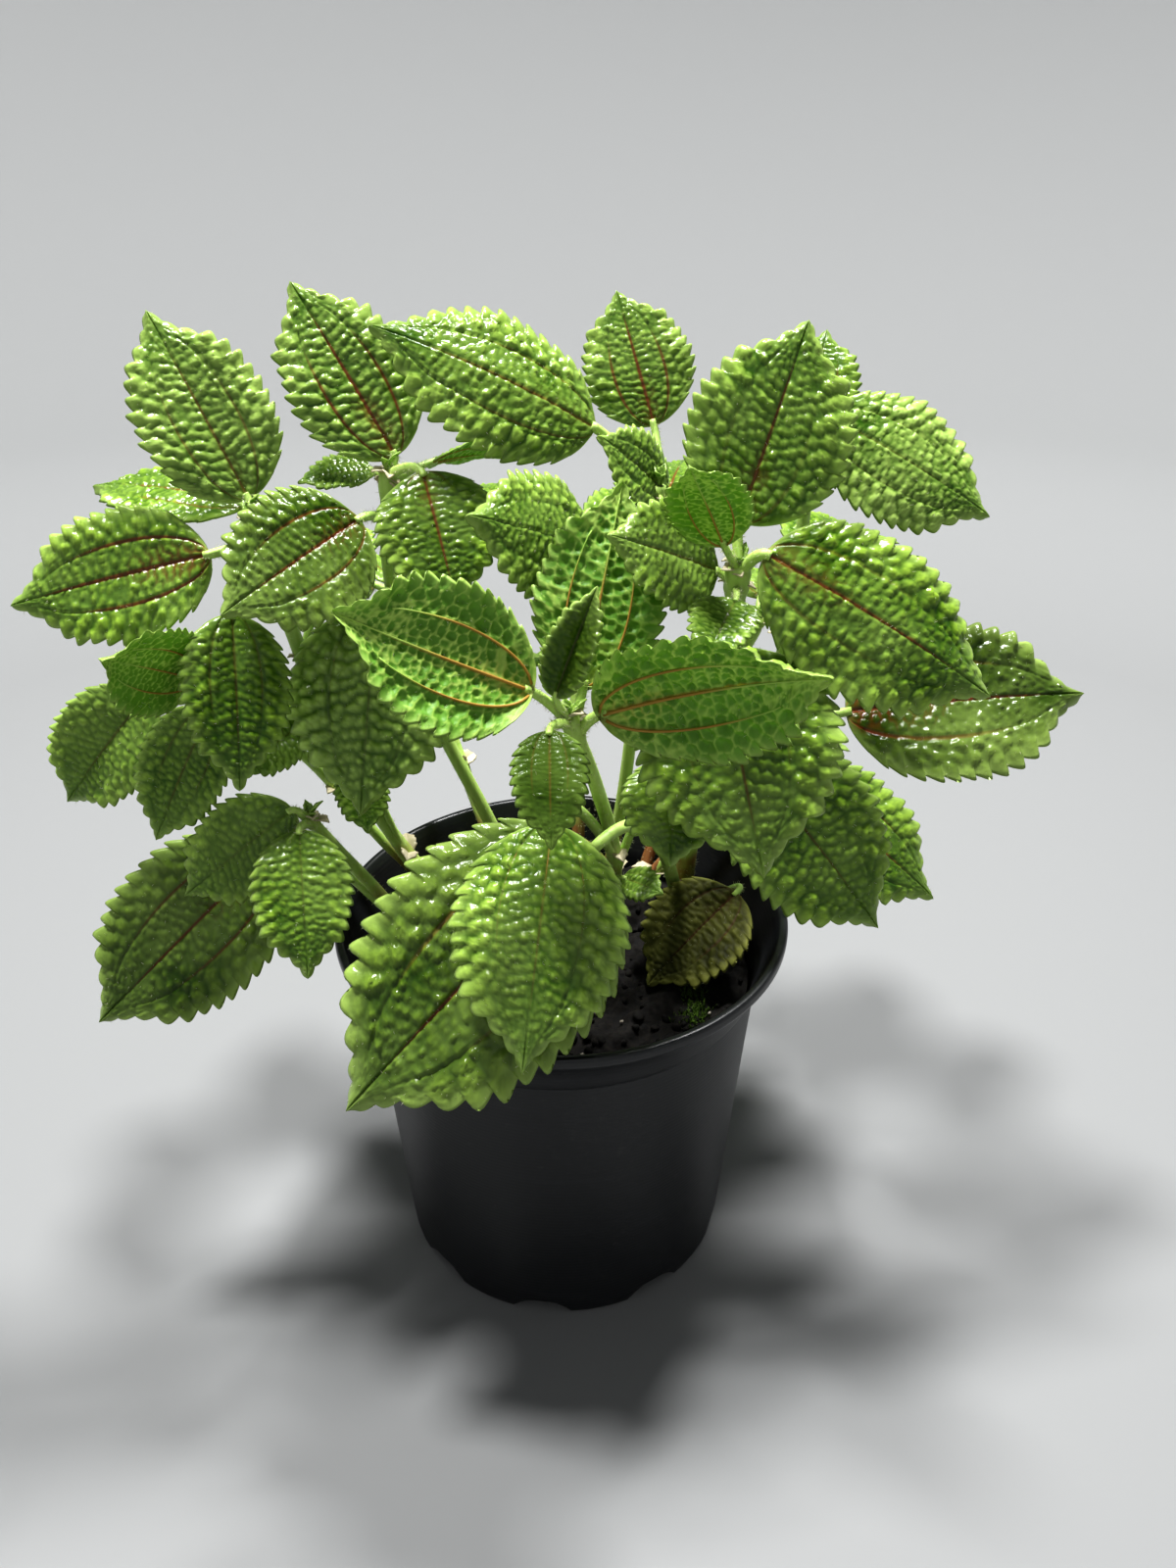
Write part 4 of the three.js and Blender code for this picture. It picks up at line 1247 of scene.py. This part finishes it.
def lumps(kind, random, slot):
    """Closed pebbles on the peat: small grids of latitude and longitude, squashed and dented at
    random."""
    count, lift, sizes = PEAT[kind]
    centres, sizes = on_peat(count, lift=lift), random.uniform(*sizes, count)
    rows, columns = PEBBLE
    v = np.linspace(0, np.pi, rows)[:, None]
    w = np.linspace(0, 2 * np.pi, columns)[None, :]
    ball = np.stack([np.sin(v) * np.cos(w), np.sin(v) * np.sin(w), np.cos(v) + 0 * w], -1)
    made = []
    for centre, size in zip(centres, sizes):
        turn = np.linalg.qr(random.normal(0, 1, (3, 3)))[0]
        turn = turn * np.sign(np.linalg.det(turn))
        dent = random.uniform(0.65, 1.15, (rows, columns - 1))
        dent = np.hstack([dent, dent[:, :1]])
        dent[0], dent[-1] = dent[0, 0], dent[-1, 0]
        shape = ball * dent[..., None] * random.uniform(0.55, 1.0, 3)
        made.append(surface(centre + size * shape @ turn, slot=slot))
    return made


def on_peat(count, far_low=0.0, lift=0.0):
    """Random points on the peat, at least far_low of the way out."""
    far = inside * np.sqrt(random.uniform(far_low**2, 0.94, count))
    turn = random.uniform(0, 2 * np.pi, count)
    x, y = far * np.cos(turn), far * np.sin(turn)
    return np.stack([x, y, peat_height(x, y) + lift], -1)


loose, grit = lumps("loose", random, 0), lumps("grit", random, 1)
print("loose crumbs:", len(loose), "grit:", len(grit))

# %% [markdown]
# ## Peat, grit and moss
# Moist peat is very dark and matt, with a faint shine where it is wet; here its colours are darker
# still, almost black, which is painted shade for the shadow under the leaves. The grit is pale
# grey stone. The moss is a low fur of green threads in patches along the wall.

# %% Peat materials
TUFTS = {"patches": 14, "threads": 130, "spread": 1.9, "length": 1.9, "root": 0.16, "out": 0.7}


def crumbly(name, dark, light, roughness, scale):
    """Two colours by noise with grains 1 / scale wide, 1 to 2 mm, over a strong fine bump."""
    made, tree, place = new_material(name)
    grain = add_node(tree, "TexNoise", {"Vector": place, "Scale": scale, "Detail": 6.0})
    skin = {
        "Base Color": paint(tree, dark, light, grain, (0.35, 0.7)),
        "Roughness": roughness,
        "Specular IOR Level": 0.25,
        "Normal": add_node(tree, "Bump", {"Height": grain, "Strength": 0.8, "Distance": 0.0006}),
    }
    return finished(made, skin)


# the peat's near-black colours are partly painted shade, for the shadow of the leaves
SHADED_DARK_PEAT = crumbly("peat_moist_shaded", "#040302", "#14100b", 0.85, 500.0)
GRIT = crumbly("grit_stone", "#6d675c", "#a59f92", 0.7, 900.0)
MOSS = crumbly("moss_green", "#2c3f12", "#62802c", 0.6, 900.0)

tufts = np.repeat(on_peat(TUFTS["patches"], far_low=TUFTS["out"]), TUFTS["threads"], axis=0)
spread = TUFTS["spread"] * np.array([1, 1, 0])
tufts = tufts + random.normal(0, 1.0, tufts.shape) * spread
tufts = tufts[np.hypot(tufts[:, 0], tufts[:, 1]) < inside - 1]
tufts[:, 2] = peat_height(tufts[:, 0], tufts[:, 1]) + 0.3
upward = np.tile([0, 0, 1.0], (len(tufts), 1))
moss = hairs(tufts, upward, random, length=TUFTS["length"], slot=2, root=TUFTS["root"])
put_piece("peat", [filling, *loose, *grit, moss], [SHADED_DARK_PEAT, GRIT, MOSS], ["soil"])
print("moss threads:", len(tufts))

# %% [markdown]
# ## Hairs on the blades
# The blades carry the same white hairs as the stems, thinly scattered over both of their faces
# and a little shorter. One piece for each shoot holds the hairs of all its blades.

# %% Hairs on the blades
HAIR_DENSITY = 0.07  # for each mm2

for s, name in enumerate(SHOOTS):
    random = np.random.default_rng(9000 + s)
    fuzz = []
    for face in blade_faces[name]:
        fuzz.append(hairs(*on_faces(face, HAIR_DENSITY, random), random, length=0.9))
    put_piece("fuzz_" + name, fuzz, [HAIR], [])
print("blades have hairs")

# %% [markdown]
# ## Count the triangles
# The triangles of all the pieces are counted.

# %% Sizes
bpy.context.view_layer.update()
triangles = sum(len(o.data.loops) - 2 * len(o.data.polygons) for o in PIECES)
print(triangles, "triangles in", len(PIECES), "pieces")
